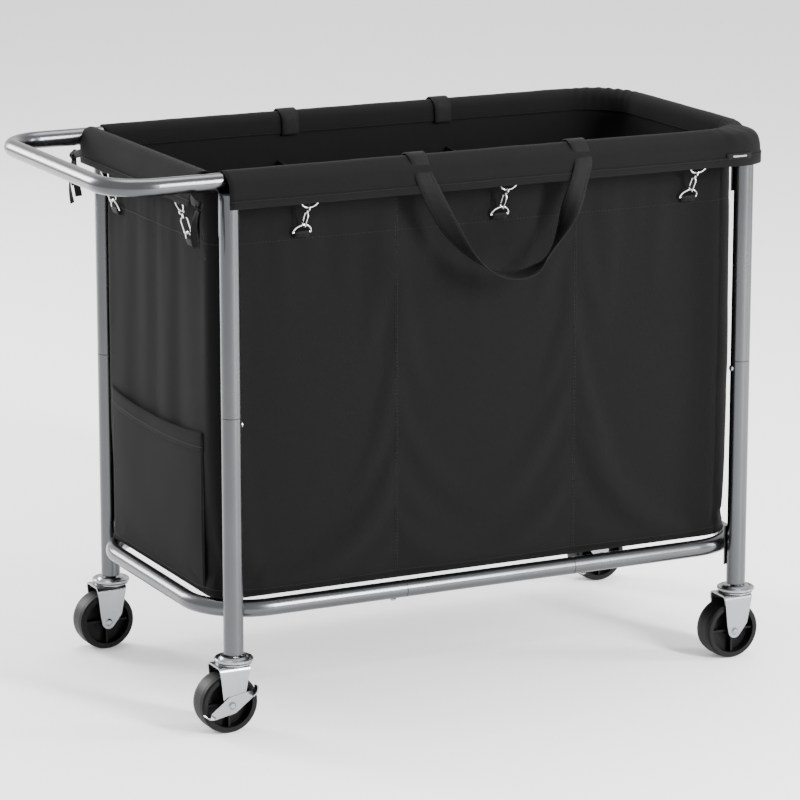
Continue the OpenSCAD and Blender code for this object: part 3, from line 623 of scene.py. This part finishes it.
def bag_pin(co):
    """Holds the bag at its rim and its bottom hem, and stiffens its divider seams."""
    if co.z > FLAP_LOW.z - 8 * MM or co.z < BAG_LOW.z + 10 * MM:
        return 1.0
    near_seam = min(abs(co.x - x) for x in DIVIDER_XS) < 5 * MM and abs(co.y) > 0.15
    return 0.7 if near_seam else 0.02


def closed_row(row):
    return np.vstack([row, row[:1]])


def bag_wall():
    """The bag's wall: a closed sheet that settles as cloth and is then thickened.
    Returns its settled grid."""
    grid = bag_grid()
    rows, columns, _ = grid.shape
    obj = cloth_grid("bag_wall", grid, CLOTH, closed=True)
    drape(obj, bag_pin)
    settled = grid_of(obj, rows, columns)
    thicken(obj, CLOTH_T)
    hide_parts("bag_shell")
    on_frame(obj)
    return settled


def row_normals(row):
    """Outward normals in plan along one closed row of the bag's wall."""
    tangent = np.roll(row, -1, axis=0) - np.roll(row, 1, axis=0)
    normals = np.stack([tangent[:, 1], -tangent[:, 0], np.zeros(len(row))], axis=1)
    return normals / np.linalg.norm(normals, axis=1)[:, None]


def bag_seams(settled):
    """Stitch rows down the divider seams, round the top seam and above the bottom hem."""
    skin = CLOTH_T / 2
    apart = 2.2 * MM
    middle_row = settled[settled.shape[0] // 2]
    normals = np.array([row_normals(row) for row in settled])
    for index, x in enumerate(DIVIDER_XS):
        for side, place in ((-1, "front"), (1, "back")):
            column = nearest_column(middle_row, x, side)
            outs = normals[1:-4, column]
            seam = settled[1:-4, column] + outs * skin
            for way, tag in ((-1, "a"), (1, "b")):
                path = seam + np.array([way * apart / 2, 0, 0])
                stitches(f"seam_{place}_{index}{tag}", path, outs, SEAM_STITCH)
    heights = settled[:, 0, 2]
    for name, z in (("top_seam", SEAM_Z + 3 * MM), ("hem_seam", BAG_LOW.z + 12 * MM)):
        level = int(np.argmin(abs(heights - z)))
        outs = closed_row(normals[level])
        stitches(name, closed_row(settled[level]) + outs * skin, outs, HEM_STITCH)


def tube_round(name, path, radius, material, sides=10):
    """A closed round cord of cloth along a loop of points."""
    path = np.asarray(path, float)
    tangents = np.roll(path, -1, axis=0) - np.roll(path, 1, axis=0)
    tangents /= np.linalg.norm(tangents, axis=1)[:, None]
    verts, uvs = [], []
    along = arc_lengths(path)
    for point, tangent, s in zip(path, tangents, along):
        side = np.cross(tangent, (0, 0, 1))
        for k in range(sides):
            a = 2 * math.pi * k / sides
            verts.append(point + radius * (math.cos(a) * side + math.sin(a) * np.array((0, 0, 1))))
            uvs.append((s, radius * a))
    faces = grid_faces(len(path), sides, True)
    last = (len(path) - 1) * sides
    faces += [(last + k, last + (k + 1) % sides, (k + 1) % sides, k) for k in range(sides)]
    obj = mesh_object(name, verts, faces, material, uvs)
    recalculate(obj)
    return obj


def flat_panel(name, z, sag, inset, thickness, material):
    """A panel the shape of the bag in plan, in rings round its middle that sag between."""
    rings = 8
    centre = np.array([MID_X, 0, 0])
    loop = bag_loop(CLOTH_T / 2 + inset, BAG_RIGHT_R, GRID_STEP)
    plan = np.array([[p.x, p.y, 0] for p, _ in loop])
    rows = []
    for k in range(rings):
        share = 1 - k / rings
        ring = centre + (plan - centre) * share
        ring[:, 2] = z - sag * math.sin(math.pi * share) ** 2
        ring[:, 2] += [0.5 * MM * tidy_ripple(p, 0.12, 5.0) * (share < 1) for p in ring]
        rows.append(ring)
    grid = np.array(rows)
    count = grid.shape[1]
    verts = list(grid.reshape(-1, 3)) + [np.array([MID_X, 0, z])]
    faces = grid_faces(rings, count, True)
    hub = rings * count
    last = (rings - 1) * count
    faces += [(last + c, last + (c + 1) % count, hub) for c in range(count)]
    obj = mesh_object(name, verts, faces, material, [(v[0], v[1]) for v in verts])
    thicken(obj, thickness)
    return obj


def bag_base(settled):
    """Bound lower edge, and the bottom panel with its stiff board."""
    edge = settled[0] + np.array([0, 0, 0.2 * MM])
    piping = tube_round("bottom_piping", edge, 2.1 * MM, CLOTH)
    on_frame(piping)
    bottom = flat_panel("bag_bottom", BAG_LOW.z + 1.5 * MM, 1.5 * MM, 0.6 * MM, 1.2 * MM, CLOTH)
    on_frame(bottom)
    board_t = 3 * MM
    board_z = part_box("floor_board")[1].z - board_t / 2
    board = flat_panel("bag_floor_board", board_z, 0.0, 3 * MM, board_t, LINING)
    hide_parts("floor_board")
    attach(board, "frame")


def divider(index, x):
    """An inner wall whose bound top edge dips a little between front and back."""
    node = ("divider_left", "divider_right")[index]
    half = DIVIDER_HIGH.y
    rows, columns = 40, 44
    grid = np.zeros((rows, columns, 3))
    for r in range(rows):
        for c in range(columns):
            across = -half + 2 * half * c / (columns - 1)
            dip = 7 * MM * (1 - (across / half) ** 2)
            high = DIVIDER_HIGH.z - dip
            z = DIVIDER_LOW.z + (high - DIVIDER_LOW.z) * r / (rows - 1)
            bow = math.cos(math.pi * across / (2 * half)) * (r / rows)
            lean = 3 * MM * bow + 2 * MM * tidy_ripple((across, z, 0), 0.11, 7.0 + index) * bow
            grid[r, c] = (x + lean, across, z)
    obj = cloth_grid(f"divider_cloth_{index}", grid, LINING)
    thicken(obj, CLOTH_T)
    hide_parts(node)
    on_frame(obj)
    acrosses = np.tile([1.0, 0.0, 0.0], (columns, 1))
    binding = ribbon(f"divider_binding_{index}", grid[-1], acrosses, 3.2 * MM, 2.4 * MM, WEBBING)
    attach(binding, "frame")
    for side, tag in ((-1, "a"), (1, "b")):
        path = grid[-2] + np.array([side * CLOTH_T / 2, 0, 2 * MM])
        stitches(f"divider_stitch_{index}{tag}", path, acrosses * side, DIVIDER_STITCH)


def side_pocket():
    """A patch pocket on the handle end with a bound mouth that sags open."""
    half = POCKET_HIGH.y
    rows, columns = 34, 46
    wall = BAG_LOW.x
    depth = wall - POCKET_LOW.x - CLOTH_T
    grid = np.zeros((rows, columns, 3))
    for r in range(rows):
        up = r / (rows - 1)
        for c in range(columns):
            across = -1 + 2 * c / (columns - 1)
            sag = 7 * MM * (1 - across**2)
            z = POCKET_LOW.z + (POCKET_HIGH.z + 5 * MM - sag - POCKET_LOW.z) * up
            puff = (1 - abs(across) ** 5) * min(1.0, 3.2 * up) ** 0.7
            uneven = 0.8 * MM * tidy_ripple((across, up, 0), 0.35, 11.0)
            out = CLOTH_T + (depth * 0.75 + uneven) * puff
            grid[r, c] = (wall - out, across * half, z)
    obj = cloth_grid("pocket_cloth", grid, CLOTH)
    thicken(obj, CLOTH_T)
    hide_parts("side_pocket")
    on_frame(obj)
    outwards = np.array([-CLOTH_T, 0, 0])
    band = cloth_grid("pocket_hem", grid[-5:] + outwards * 0.8, CLOTH)
    thicken(band, CLOTH_T * 0.7)
    on_frame(band)
    outs = np.tile([-1.0, 0.0, 0.0], (columns, 1))
    stitches("pocket_hem_stitch", grid[-4] + outwards * 1.2, outs, HEM_STITCH)
    for column, inward, name in ((1, 1, "front"), (-2, -1, "back")):
        outs = np.tile([-0.8, -0.6 * inward, 0.0], (rows, 1))
        path = grid[:, column] + outwards / 2
        stitches(f"pocket_side_stitch_{name}", path, outs, HEM_STITCH)


# ------------------------------------------------------------ rail sleeve


def sleeve_section(radius, inner_drop, shoulder, knee, low, points):
    """Section of a sleeve in (outwards, up) from the rail's axis: a short drop inside, the wrap
    over the rail, a taut stretch to the shoulder and a fall to the edge at (knee, low)."""
    reach = math.hypot(*shoulder)
    leave = math.atan2(shoulder[1], shoulder[0]) + math.acos(min(1.0, radius / reach))
    inner = [(-radius - 0.6 * MM * min(1.0, k / 2), -inner_drop * (k / 4)) for k in range(4, 0, -1)]
    wrap = []
    for k in range(points):
        a = math.pi + (leave - math.pi) * k / (points - 1)
        wrap.append((radius * math.cos(a), radius * math.sin(a)))
    taut = np.array([wrap[-1], shoulder, (knee, shoulder[1] - 3 * MM), (knee, low)])
    fall = []
    for k in range(1, 15):
        share, rest = k / 14, 1 - k / 14
        weights = [rest**3, 3 * share * rest**2, 3 * share**2 * rest, share**3]
        fall.append(tuple(np.dot(weights, taut)))
    return np.array(inner + wrap + fall)


def leg_nearness(point):
    """1 over a leg, falling to 0 along the rail."""
    return max(math.exp(-(((point.x - x) / (45 * MM)) ** 2)) for x in LEG_XS)


# How far outside the rail's axis the hem hangs on the long sides and at the far end, and how
# far from a leg's axis it has to stay
FRONT_OUT = 24.4 * MM
END_OUT = 13.6 * MM
LEG_REACH = 16.5 * MM


def hem_reach(turn):
    """How far outside the rail the hem hangs at a turn from +X round a far bend: it is drawn
    straight from the far end's hem, round the leg, to the long side's hem."""
    far_leg = Vector((LEG_XS[1] - (FAR_X - BEND_R), LEG_Y - (LOOP_Y - BEND_R)))
    leg_turn, leg_out = math.atan2(far_leg.y, far_leg.x), far_leg.length
    end_radius = BEND_R + END_OUT
    tangent = leg_turn - math.acos((end_radius - LEG_REACH) / leg_out)
    from_end = end_radius / math.cos(turn - tangent) if turn > tangent else end_radius
    from_side = (BEND_R + FRONT_OUT) / math.sin(turn)
    return min(from_end, from_side, leg_out + LEG_REACH - 0.5 * MM) - BEND_R


def eased(values, spread):
    """A run of values made gradual without ever dropping below what it was."""
    window = 2 * spread + 1
    padded = np.pad(values, 2 * spread, mode="edge")
    widest = np.array([padded[i : i + window].max() for i in range(len(padded) - 2 * spread)])
    return np.array([widest[i : i + window].mean() for i in range(len(values))])


def in_bend(normal):
    """Whether a normal in plan belongs to one of the far bends."""
    return abs(normal.x) > 0.02 and abs(normal.y) > 0.02


def knee_out(normal):
    """How far outside the rail the hem hangs where the rail faces one way in plan."""
    if abs(normal.x) > 0.99:
        return END_OUT
    return hem_reach(math.atan2(abs(normal.y), normal.x)) if in_bend(normal) else FRONT_OUT


def hem_wave(place, size, seed, share):
    """The unevenness of a hem, from -1 to 1, that grows over the last part of the section."""
    return tidy_ripple(place, size, seed) * max(0.0, share - 0.6) / 0.4


def sleeve_point(point, normal, out, up, share, gathers):
    """One vertex of the rail's sleeve: its place in the section, pushed out by ripples,
    gathers and the wave of the hem."""
    outwards = Vector((normal.x, normal.y, 0))
    base = Vector((point.x, point.y, RAIL_Z + up)) + outwards * out
    ripple = 0.5 * MM * tidy_ripple(base, 0.05, 3.0) + 0.25 * MM * tidy_ripple(base, 0.018, 4.0)
    gather = gathers * math.sin(math.pi * min(1, share * 1.15)) ** 0.6
    push = max(-0.3 * MM, ripple + gather)
    wave = 1.3 * MM * hem_wave((base.x, base.y, 0), 0.07, 6.0, share)
    away = (outwards * out + Vector((0, 0, up))) / (math.hypot(out, up) or 1.0)
    return (base + away * push + outwards * wave)[:]


def sleeve_grid():
    """The long cover over front, far end and back, with gathers round the two far bends."""
    gather_height, gather_count = 1.1 * MM, 34
    low = FLAP_LOW.z - RAIL_Z
    columns = []
    path = rail_loop(GRID_STEP)
    knees = eased(np.array([knee_out(normal) for _, normal in path]), 3)
    for (point, normal), knee in zip(path, knees):
        held_up = smooth((knee - 15 * MM) / (24 * MM))
        shoulder_up = (-6 + 13 * held_up + 2 * leg_nearness(point)) * MM
        shoulder = (knee + 1.5 * MM, shoulder_up)
        section = sleeve_section(COVER_R + CLOTH_T / 2, INNER_DROP, shoulder, knee, low, 12)
        turn = math.atan2(normal.y, normal.x)
        envelope = abs(math.sin(2 * turn)) ** 0.7 if in_bend(normal) else 0.0
        gathers = gather_height * envelope * math.cos(turn * gather_count)
        last = len(section) - 1
        columns.append([
            sleeve_point(point, normal, out, up, k / last, gathers)
            for k, (out, up) in enumerate(section)
        ])
    return np.transpose(np.array(columns), (1, 0, 2))


def section_normals(grid):
    """Outward normals of a sleeve grid whose rows run along the rail."""
    along = np.gradient(grid, axis=1)
    down = np.gradient(grid, axis=0)
    normals = np.cross(down, along)
    return normals / np.linalg.norm(normals, axis=2)[:, :, None]


def finish_sleeve(prefix, grid, nodes):
    """Sheet, raised hem and stitch rows of one sleeve."""
    normals = section_normals(grid)
    middle_row, middle_column = grid.shape[0] // 2, grid.shape[1] // 2
    if normals[middle_row - 4, middle_column, 2] < 0:
        normals = -normals
    obj = cloth_grid(f"{prefix}_cloth", grid, CLOTH)
    thicken(obj, CLOTH_T)
    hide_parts(*nodes)
    on_frame(obj)
    lift = 0.85 * CLOTH_T
    hem = cloth_grid(f"{prefix}_hem", grid[-3:] + normals[-3:] * lift, CLOTH)
    thicken(hem, 0.75 * CLOTH_T)
    on_frame(hem)
    hem_row = grid[-3] * 0.75 + grid[-2] * 0.25 + normals[-3] * (lift + 0.3 * CLOTH_T)
    stitches(f"{prefix}_hem_stitch", hem_row, normals[-3], SLEEVE_STITCH)
    inner_row = (grid[0] + grid[1]) / 2 + normals[0] * CLOTH_T / 2
    stitches(f"{prefix}_inner_stitch", inner_row, normals[0], SLEEVE_STITCH)


def end_sleeve_grid():
    """The cover on the crossbar, whose flap hangs on the handle side."""
    low = END_FLAP_LOW - RAIL_Z + 6 * MM
    shoulder, knee = (14.5 * MM, -5 * MM), 16 * MM
    section = sleeve_section(COVER_R + CLOTH_T / 2, INNER_DROP, shoulder, knee, low, 12)
    columns = 54
    grid = np.zeros((len(section), columns, 3))
    for k, (out, up) in enumerate(section):
        half = END_FLAP_HALF + 7 * MM * min(1.0, max(0.0, 1 + up / (30 * MM)))
        for c in range(columns):
            y = -half + 2 * half * c / (columns - 1)
            ripple = 0.5 * MM * tidy_ripple((out, y, up), 0.05, 9.0)
            wave = 1.0 * MM * hem_wave((0, y, 0), 0.06, 8.0, k / len(section))
            grid[k, c] = (NEAR_X - out - ripple - wave, y, RAIL_Z + up + 0.3 * ripple)
    return grid


# ------------------------------------------------------------ straps


WEBBING_T = 1.8 * MM
WEBBING_W = 25 * MM
FOLD_Y = -HANDLE_LOW.y - WEBBING_T / 2
FOLD_Z = HANDLE_HIGH.z
STRAP_XS = (HANDLE_LOW.x + WEBBING_W / 2, HANDLE_HIGH.x - WEBBING_W / 2)
BOW_STEPS = 56


def strap_over_rail(x, side):
    """Points from the sewn end inside the bag, up and over the sleeve, down to the fold."""
    radius = COVER_R + CLOTH_T + 1.4 * MM + WEBBING_T / 2
    fold_out, fold_up = FOLD_Y - LOOP_Y, FOLD_Z - RAIL_Z
    leave = math.atan2(fold_up, fold_out) + math.acos(radius / math.hypot(fold_out, fold_up))
    section = [(-radius - 0.4 * MM, (3 * k - 17) * MM) for k in range(6)]
    for k in range(14):
        a = math.pi + (leave - math.pi) * k / 13
        section.append((radius * math.cos(a), radius * math.sin(a)))
    out, up = section[-1]
    for k in range(1, 5):
        section.append((out + (fold_out - out) * k / 5, up + (fold_up - up) * k / 5))
    return [(x, side * (LOOP_Y + o), RAIL_Z + u) for o, u in section]


def eased_fold(points, passes):
    """The strap's path with the kink at its fold worn round, and the wrap over the rail kept."""
    points = np.array(points, float)
    loose = points[1:-1, 2] < FOLD_Z + 10 * MM
    for _ in range(passes):
        between = (points[:-2] + points[2:]) / 2
        points[1:-1][loose] = points[1:-1][loose] * 0.5 + between[loose] * 0.5
    return points


def bow_turn(swing, rise):
    """How far the bow's width has turned from along the rail, in degrees: past edge-on at the
    bottom, then gradually flat again, quicker on the near limb."""
    if swing < 0:
        return 100 * (1 - smooth(abs(swing) / 0.95))
    return 100 + 30 * smooth(rise / 0.12) - 130 * smooth((rise - 0.12) / 0.75)


def bow_path(side):
    """Centres and widths' directions of the hanging bow, from fold to fold. Its lowest point is
    off the middle, and it hangs a little away from the bag."""
    left, right = STRAP_XS
    low_x = (left + right) / 2 + 16 * MM
    low_z = HANDLE_LOW.z + 15 * MM
    centres, acrosses = [], []
    for k in range(BOW_STEPS + 1):
        swing = -1 + 2 * k / BOW_STEPS
        reach = (low_x - left) if swing < 0 else (right - low_x)
        out = math.copysign(math.sin(math.pi / 2 * abs(swing)) ** 1.1, swing)
        rise = abs(out) ** 2.3
        sway = 1.5 * MM * math.sin(3 * math.pi * k / BOW_STEPS) * (1 - rise)
        y = FOLD_Y + 11 * MM * (1 - abs(out) ** 2) + sway
        centres.append((low_x + reach * out, side * y, low_z + (FOLD_Z - low_z) * rise))
        turn = math.radians(bow_turn(swing, rise))
        acrosses.append((math.cos(turn), side * math.sin(turn) * 0.97, -0.24 * math.sin(turn)))
    return centres, acrosses


def carry_handle(side):
    """One continuous strap: over the rail, down into a hanging bow that turns edge-on at its
    lowest point, and back over the rail."""
    name = "front" if side < 0 else "back"
    left, right = STRAP_XS
    start = strap_over_rail(left, side)
    end = list(reversed(strap_over_rail(right, side)))
    bow, across = bow_path(side)
    flat = (1.0, 0.0, 0.0)
    centres = eased_fold(start + bow + end, 9)
    acrosses = np.array([flat] * len(start) + across + [flat] * len(end))
    strap = ribbon(f"carry_strap_{name}", centres, acrosses, WEBBING_W, WEBBING_T, WEBBING)
    hanging = slice(len(start) + 2, len(start) + BOW_STEPS - 1)
    for edge, way in (("a", 1), ("b", -1)):
        for face in (-1, 1):
            edge_stitches(f"carry_stitch_{name}_{edge}{face + 1}", centres[hanging],
                          way * acrosses[hanging], WEBBING_W, WEBBING_T, face, f"carry_{name}")
    nodes = [f"carry_handle_{name}"] + (["handle_anchors"] if side < 0 else [])
    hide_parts(*nodes)
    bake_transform(strap)


def hanging_tail(top, run, sway, curl):
    """Centres and widths' directions of a loose tail that falls from a knot and twists."""
    points, acrosses = [], []
    for k in range(25):
        share = k / 24
        out = 3.5 * MM * math.sin(math.pi * share)
        points.append((top.x - out, top.y + sway * math.sin(1.9 * share), top.z - run * share))
        turn = curl * share
        acrosses.append((math.sin(turn), math.cos(turn), 0.1))
    return points, acrosses


# Length as a share of the longest, sway, twist and width of each tail, and the two radii of
# each turn of the knot
TIE_TAILS = (
    (1.0, 10 * MM, 0.9, 10 * MM),
    (0.8, -14 * MM, -1.2, 9 * MM),
    (0.62, 3 * MM, 2.2, 6 * MM),
)
KNOT_TURNS = ((4.0 * MM, 5.0 * MM), (6.5 * MM, 3.0 * MM))


def sewn_part(sewn, knot, side):
    """Centres and widths' directions from the flap's corner to the knot."""
    bulge = Vector((-2 * MM, 0, 0))
    points = [(sewn.lerp(knot, k / 10) + bulge * math.sin(math.pi * k / 10))[:] for k in range(11)]
    return points, [(0, 0.35 * side, 1)] * len(points)


def knot_turn(knot, across_r, high_r):
    """Centres and widths' directions of one turn of a knot."""
    angles = [2 * math.pi * k / 24 for k in range(25)]
    points = [
        (knot.x - 0.5 * MM + 2.8 * MM * math.cos(a),
         knot.y + across_r * math.sin(a + 0.4),
         knot.z + high_r * math.sin(a + 1.1))
        for a in angles
    ]
    return points, [(0.2, 1, 0.6 * math.sin(a)) for a in angles]


def tie_straps():
    """A tie at each end of the crossbar's flap, knotted beside the leg, with loose tails."""
    low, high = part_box("tie_straps")
    x = low.x - 1 * MM
    for index, side in enumerate((-1, 1)):
        sewn = Vector((x, side * (high.y - 3 * MM), high.z - 2 * MM))
        knot = Vector((x, side * (high.y + 27 * MM), high.z - 10 * MM))
        pieces = [(*sewn_part(sewn, knot, side), 10 * MM)]
        for length, sway, curl, width in TIE_TAILS:
            run = (high.z - low.z) * length
            pieces.append((*hanging_tail(knot, run, side * sway, curl), width))
        for across_r, high_r in KNOT_TURNS:
            pieces.append((*knot_turn(knot, across_r, high_r), 6.5 * MM))
        for number, (points, acrosses, width) in enumerate(pieces):
            tie = ribbon(f"tie_{index}_{number}", points, acrosses, width, 1.0 * MM, WEBBING)
            if index == 0 and number == 0:
                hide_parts("tie_straps")
            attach(tie, "frame")


def islands(obj):
    """Boxes of a mesh's separate pieces."""
    bm = bmesh.new()
    bm.from_mesh(obj.data)
    bmesh.ops.remove_doubles(bm, verts=bm.verts, dist=0.01 * MM)
    seen, boxes = set(), []
    for first in bm.verts:
        if first in seen:
            continue
        stack, points = [first], []
        seen.add(first)
        while stack:
            vertex = stack.pop()
            points.append(vertex.co.copy())
            for edge in vertex.link_edges:
                other = edge.other_vert(vertex)
                if other not in seen:
                    seen.add(other)
                    stack.append(other)
        co = np.array([p[:] for p in points])
        boxes.append((Vector(co.min(0)), Vector(co.max(0))))
    bm.free()
    return boxes


def tab_section(bar_z, tail_z, way):
    """Section of a folded tab in (outwards from the bar, height): up one side of the ring's
    bar, round it, and back. way is 1 if the tab comes down to the bar and -1 if up to it."""
    fold_r = 2.1 * MM
    half_z = (tail_z + bar_z) / 2
    section = [(-1.0 * MM, tail_z), (-1.3 * MM, half_z), (-fold_r, bar_z + way * 0.6 * MM)]
    for k in range(7):
        a = math.pi * k / 6
        section.append((-fold_r * math.cos(a), bar_z - way * fold_r * math.sin(a)))
    section += [(1.6 * MM, bar_z + way * 2.6 * MM), (0.5 * MM, half_z), (0.3 * MM, tail_z)]
    return section


def ring_tabs():
    """Webbing folded round the bar of each D-ring and sewn to the flap or the bag."""
    bar_in = 2.8 * MM
    for index, (low, high) in enumerate(islands(frame["nodes"]["ring_tabs"])):
        centre = (low + high) / 2
        wide = (high.x - low.x) > (high.y - low.y)
        on_long_side = abs(centre.y) > BAG_HIGH.y - 20 * MM and wide
        if on_long_side:
            out, across = Vector((0, math.copysign(1, centre.y), 0)), (1, 0, 0)
        else:
            out, across = Vector((math.copysign(1, centre.x - MID_X), 0, 0)), (0, 1, 0)
        upper = centre.z > FLAP_LOW.z - 12 * MM
        bar_z = low.z + bar_in if upper else high.z - bar_in
        tail_z = high.z if upper else max(low.z, bar_z - 6 * MM)
        spread = (high - low).dot(Vector(map(abs, out)))
        bar = centre + out * (spread / 2 - bar_in)
        section = tab_section(bar_z, tail_z, 1 if upper else -1)
        points = [(bar.x + out.x * o, bar.y + out.y * o, z) for o, z in section]
        acrosses = [across] * len(points)
        tab = ribbon(f"ring_tab_{index}", points, acrosses, 20 * MM, 0.9 * MM, WEBBING)
        if index == 0:
            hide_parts("ring_tabs")
        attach(tab, "frame")


def front_of_sleeve(sleeve, x, z):
    """The outermost y of the front flap near a place along it and a height."""
    outer = sleeve[sleeve.shape[0] // 2 :].reshape(-1, 3)
    front = outer[outer[:, 1] < -LOOP_Y]
    near = front[np.argsort(np.hypot(front[:, 0] - x, front[:, 2] - z))[:4]]
    return float(near[:, 1].min())


def label(sleeve):
    """A small folded tab with a plain woven stripe and no lettering."""
    low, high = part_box("blank_label")
    centre = (low + high) / 2
    z = centre.z + 2.5 * MM
    xs = [low.x + (high.x - low.x) * k / 8 for k in range(9)]
    ups = [(0, 0, 1)] * len(xs)
    points = [(x, front_of_sleeve(sleeve, x, z) - CLOTH_T / 2 - 0.6 * MM, z) for x in xs]
    tab = ribbon("plain_label", points, ups, high.z - low.z - 1 * MM, 0.9 * MM, WEBBING)
    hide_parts("blank_label")
    on_frame(tab)
    inner = [(x * 0.78 + centre.x * 0.22, y - 0.6 * MM, z) for x, y, z in points]
    stripe = ribbon("plain_label_stripe", inner, ups, 2.2 * MM, 0.35 * MM, LIGHT_THREAD)
    on_frame(stripe)


# ------------------------------------------------------------ tube joints


def painted_joint_shade(name, centre, axis, radius):
    """Painted shade: a narrow dark band round the tube where two tubes butt together, standing in
    for the shaded gap of the joint.
    """
    sides = 48
    half = [(0.2 * MM, 0.03 * MM), (0.35 * MM, 0.07 * MM), (0.55 * MM, -0.1 * MM)]
    profile = [(-along, out) for along, out in reversed(half)] + half + [(0.0, -0.25 * MM)]
    turn = Vector(axis).to_track_quat("Z", "Y")
    verts = []
    for k in range(sides):
        a = 2 * math.pi * k / sides
        for along, out in profile:
            spot = Vector(((radius + out) * math.cos(a), (radius + out) * math.sin(a), along))
            verts.append(Vector(centre) + turn @ spot)
    count = len(profile)
    faces = []
    for r in range(sides):
        here, there = r * count, (r + 1) % sides * count
        for c in range(count):
            after = (c + 1) % count
            faces.append((here + c, here + after, there + after, there + c))
    # The black plastic paints the shade in the gap between the two tubes.
    shade_band = mesh_object(name, verts, faces, PLUG_AND_JOINT_SHADE)
    recalculate(shade_band)
    on_frame(shade_band)


def painted_joint_shades():
    """Bands of painted shade at the joints on the four legs and at the ring's four tube joints."""
    for leg in ("fl", "fr", "bl", "br"):
        low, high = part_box(f"leg_lower_{leg}")
        top = ((low.x + high.x) / 2, (low.y + high.y) / 2, high.z)
        painted_joint_shade(f"leg_joint_shade_{leg}", top, (0, 0, 1), (high.x - low.x) / 2)
    for place in ("front", "back"):
        low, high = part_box(f"ring_middle_{place}")
        for end, x in (("left", low.x), ("right", high.x)):
            centre = (x, (low.y + high.y) / 2, (low.z + high.z) / 2)
            painted_joint_shade(f"ring_joint_shade_{place}_{end}", centre, (1, 0, 0), (high.z - low.z) / 2)


# ------------------------------------------------------------ stage

VIEW_AZIMUTH = -26.6
VIEW_ELEVATION = 13.2
VIEW_DISTANCE = 5.17
VIEW_LENS = 178.6
AIM_RIGHT = -29 * MM
AIM_UP = -11 * MM
AIM_Z = 0.35


def camera():
    """A long lens from the handle end's front, a little above the rail."""
    azimuth, elevation = math.radians(VIEW_AZIMUTH), math.radians(VIEW_ELEVATION)
    level = Vector((math.sin(azimuth), -math.cos(azimuth), 0)) * math.cos(elevation)
    back = level + Vector((0, 0, math.sin(elevation)))
    right = Vector((math.cos(azimuth), math.sin(azimuth), 0))
    up = back.cross(right)
    target = Vector((MID_X, 0, AIM_Z))
    data = bpy.data.cameras.new("camera")
    data.lens = VIEW_LENS
    data.clip_end = 50
    cam = bpy.data.objects.new("camera", data)
    bpy.context.scene.collection.objects.link(cam)
    cam.location = target + back * VIEW_DISTANCE
    aim = target + right * AIM_RIGHT + up * AIM_UP
    cam.rotation_mode = "QUATERNION"
    cam.rotation_quaternion = (aim - cam.location).to_track_quat("-Z", "Y")
    bpy.context.scene.camera = cam


def softbox(name, place, aim, size, watts):
    """A white area light that faces a point."""
    data = bpy.data.lights.new(name, "AREA")
    data.shape = "RECTANGLE"
    data.size, data.size_y = size
    data.energy = watts
    lamp = bpy.data.objects.new(name, data)
    lamp.location = place
    lamp.rotation_mode = "QUATERNION"
    lamp.rotation_quaternion = (Vector(aim) - Vector(place)).to_track_quat("-Z", "Y")
    bpy.context.scene.collection.objects.link(lamp)


def stage():
    """Pale surroundings, a plain floor and four softboxes."""
    world = bpy.data.worlds.new("studio")
    world.use_nodes = True
    background = world.node_tree.nodes["Background"]
    background.inputs["Color"].default_value = (1, 1, 1, 1)
    background.inputs["Strength"].default_value = 1.45
    bpy.context.scene.world = world
    half = 9.0
    edge = [(-half, -half, 0), (half, -half, 0), (half, half, 0), (-half, half, 0)]
    floor = mesh_object("studio_floor", edge, [(0, 1, 2, 3)], floor_finish(), smooth=False)
    aim = (MID_X, 0, 0.4)
    softbox("key", (1.35, -3.3, 1.75), aim, (0.45, 1.9), 330)
    softbox("rim", (3.3, -1.7, 1.3), aim, (0.6, 1.8), 130)
    softbox("back", (-1.9, 3.3, 1.7), aim, (1.1, 1.6), 190)
    softbox("top", (0.2, 0.6, 3.4), aim, (2.6, 1.8), 110)


def floor_finish():
    """Matt pale paper that glows a little, as if lit from outside the picture."""
    g = Graph("studio_floor", (0.86, 0.86, 0.86), 0.6)
    cloud = g.noise(g.place("Object"), 0.8, 2)
    g.color(g.mix(cloud, (0.92, 0.92, 0.92), (0.95, 0.95, 0.95)))
    g.constant("Emission Color", (1, 1, 1, 1))
    g.constant("Emission Strength", 0.14)
    return g.material


# ------------------------------------------------------------ build

camera()
dress_cad()
settled_wall = bag_wall()
bag_seams(settled_wall)
bag_base(settled_wall)
for number, seam_x in enumerate(DIVIDER_XS):
    divider(number, seam_x)
side_pocket()
rail_sleeve = sleeve_grid()
long_flaps = ["flap_front", "flap_back", "flap_right"]
finish_sleeve("rail_sleeve", rail_sleeve, long_flaps)
finish_sleeve("end_sleeve", end_sleeve_grid(), ["flap_left"])
carry_handle(-1)
carry_handle(1)
tie_straps()
ring_tabs()
label(rail_sleeve)
painted_joint_shades()
stage()
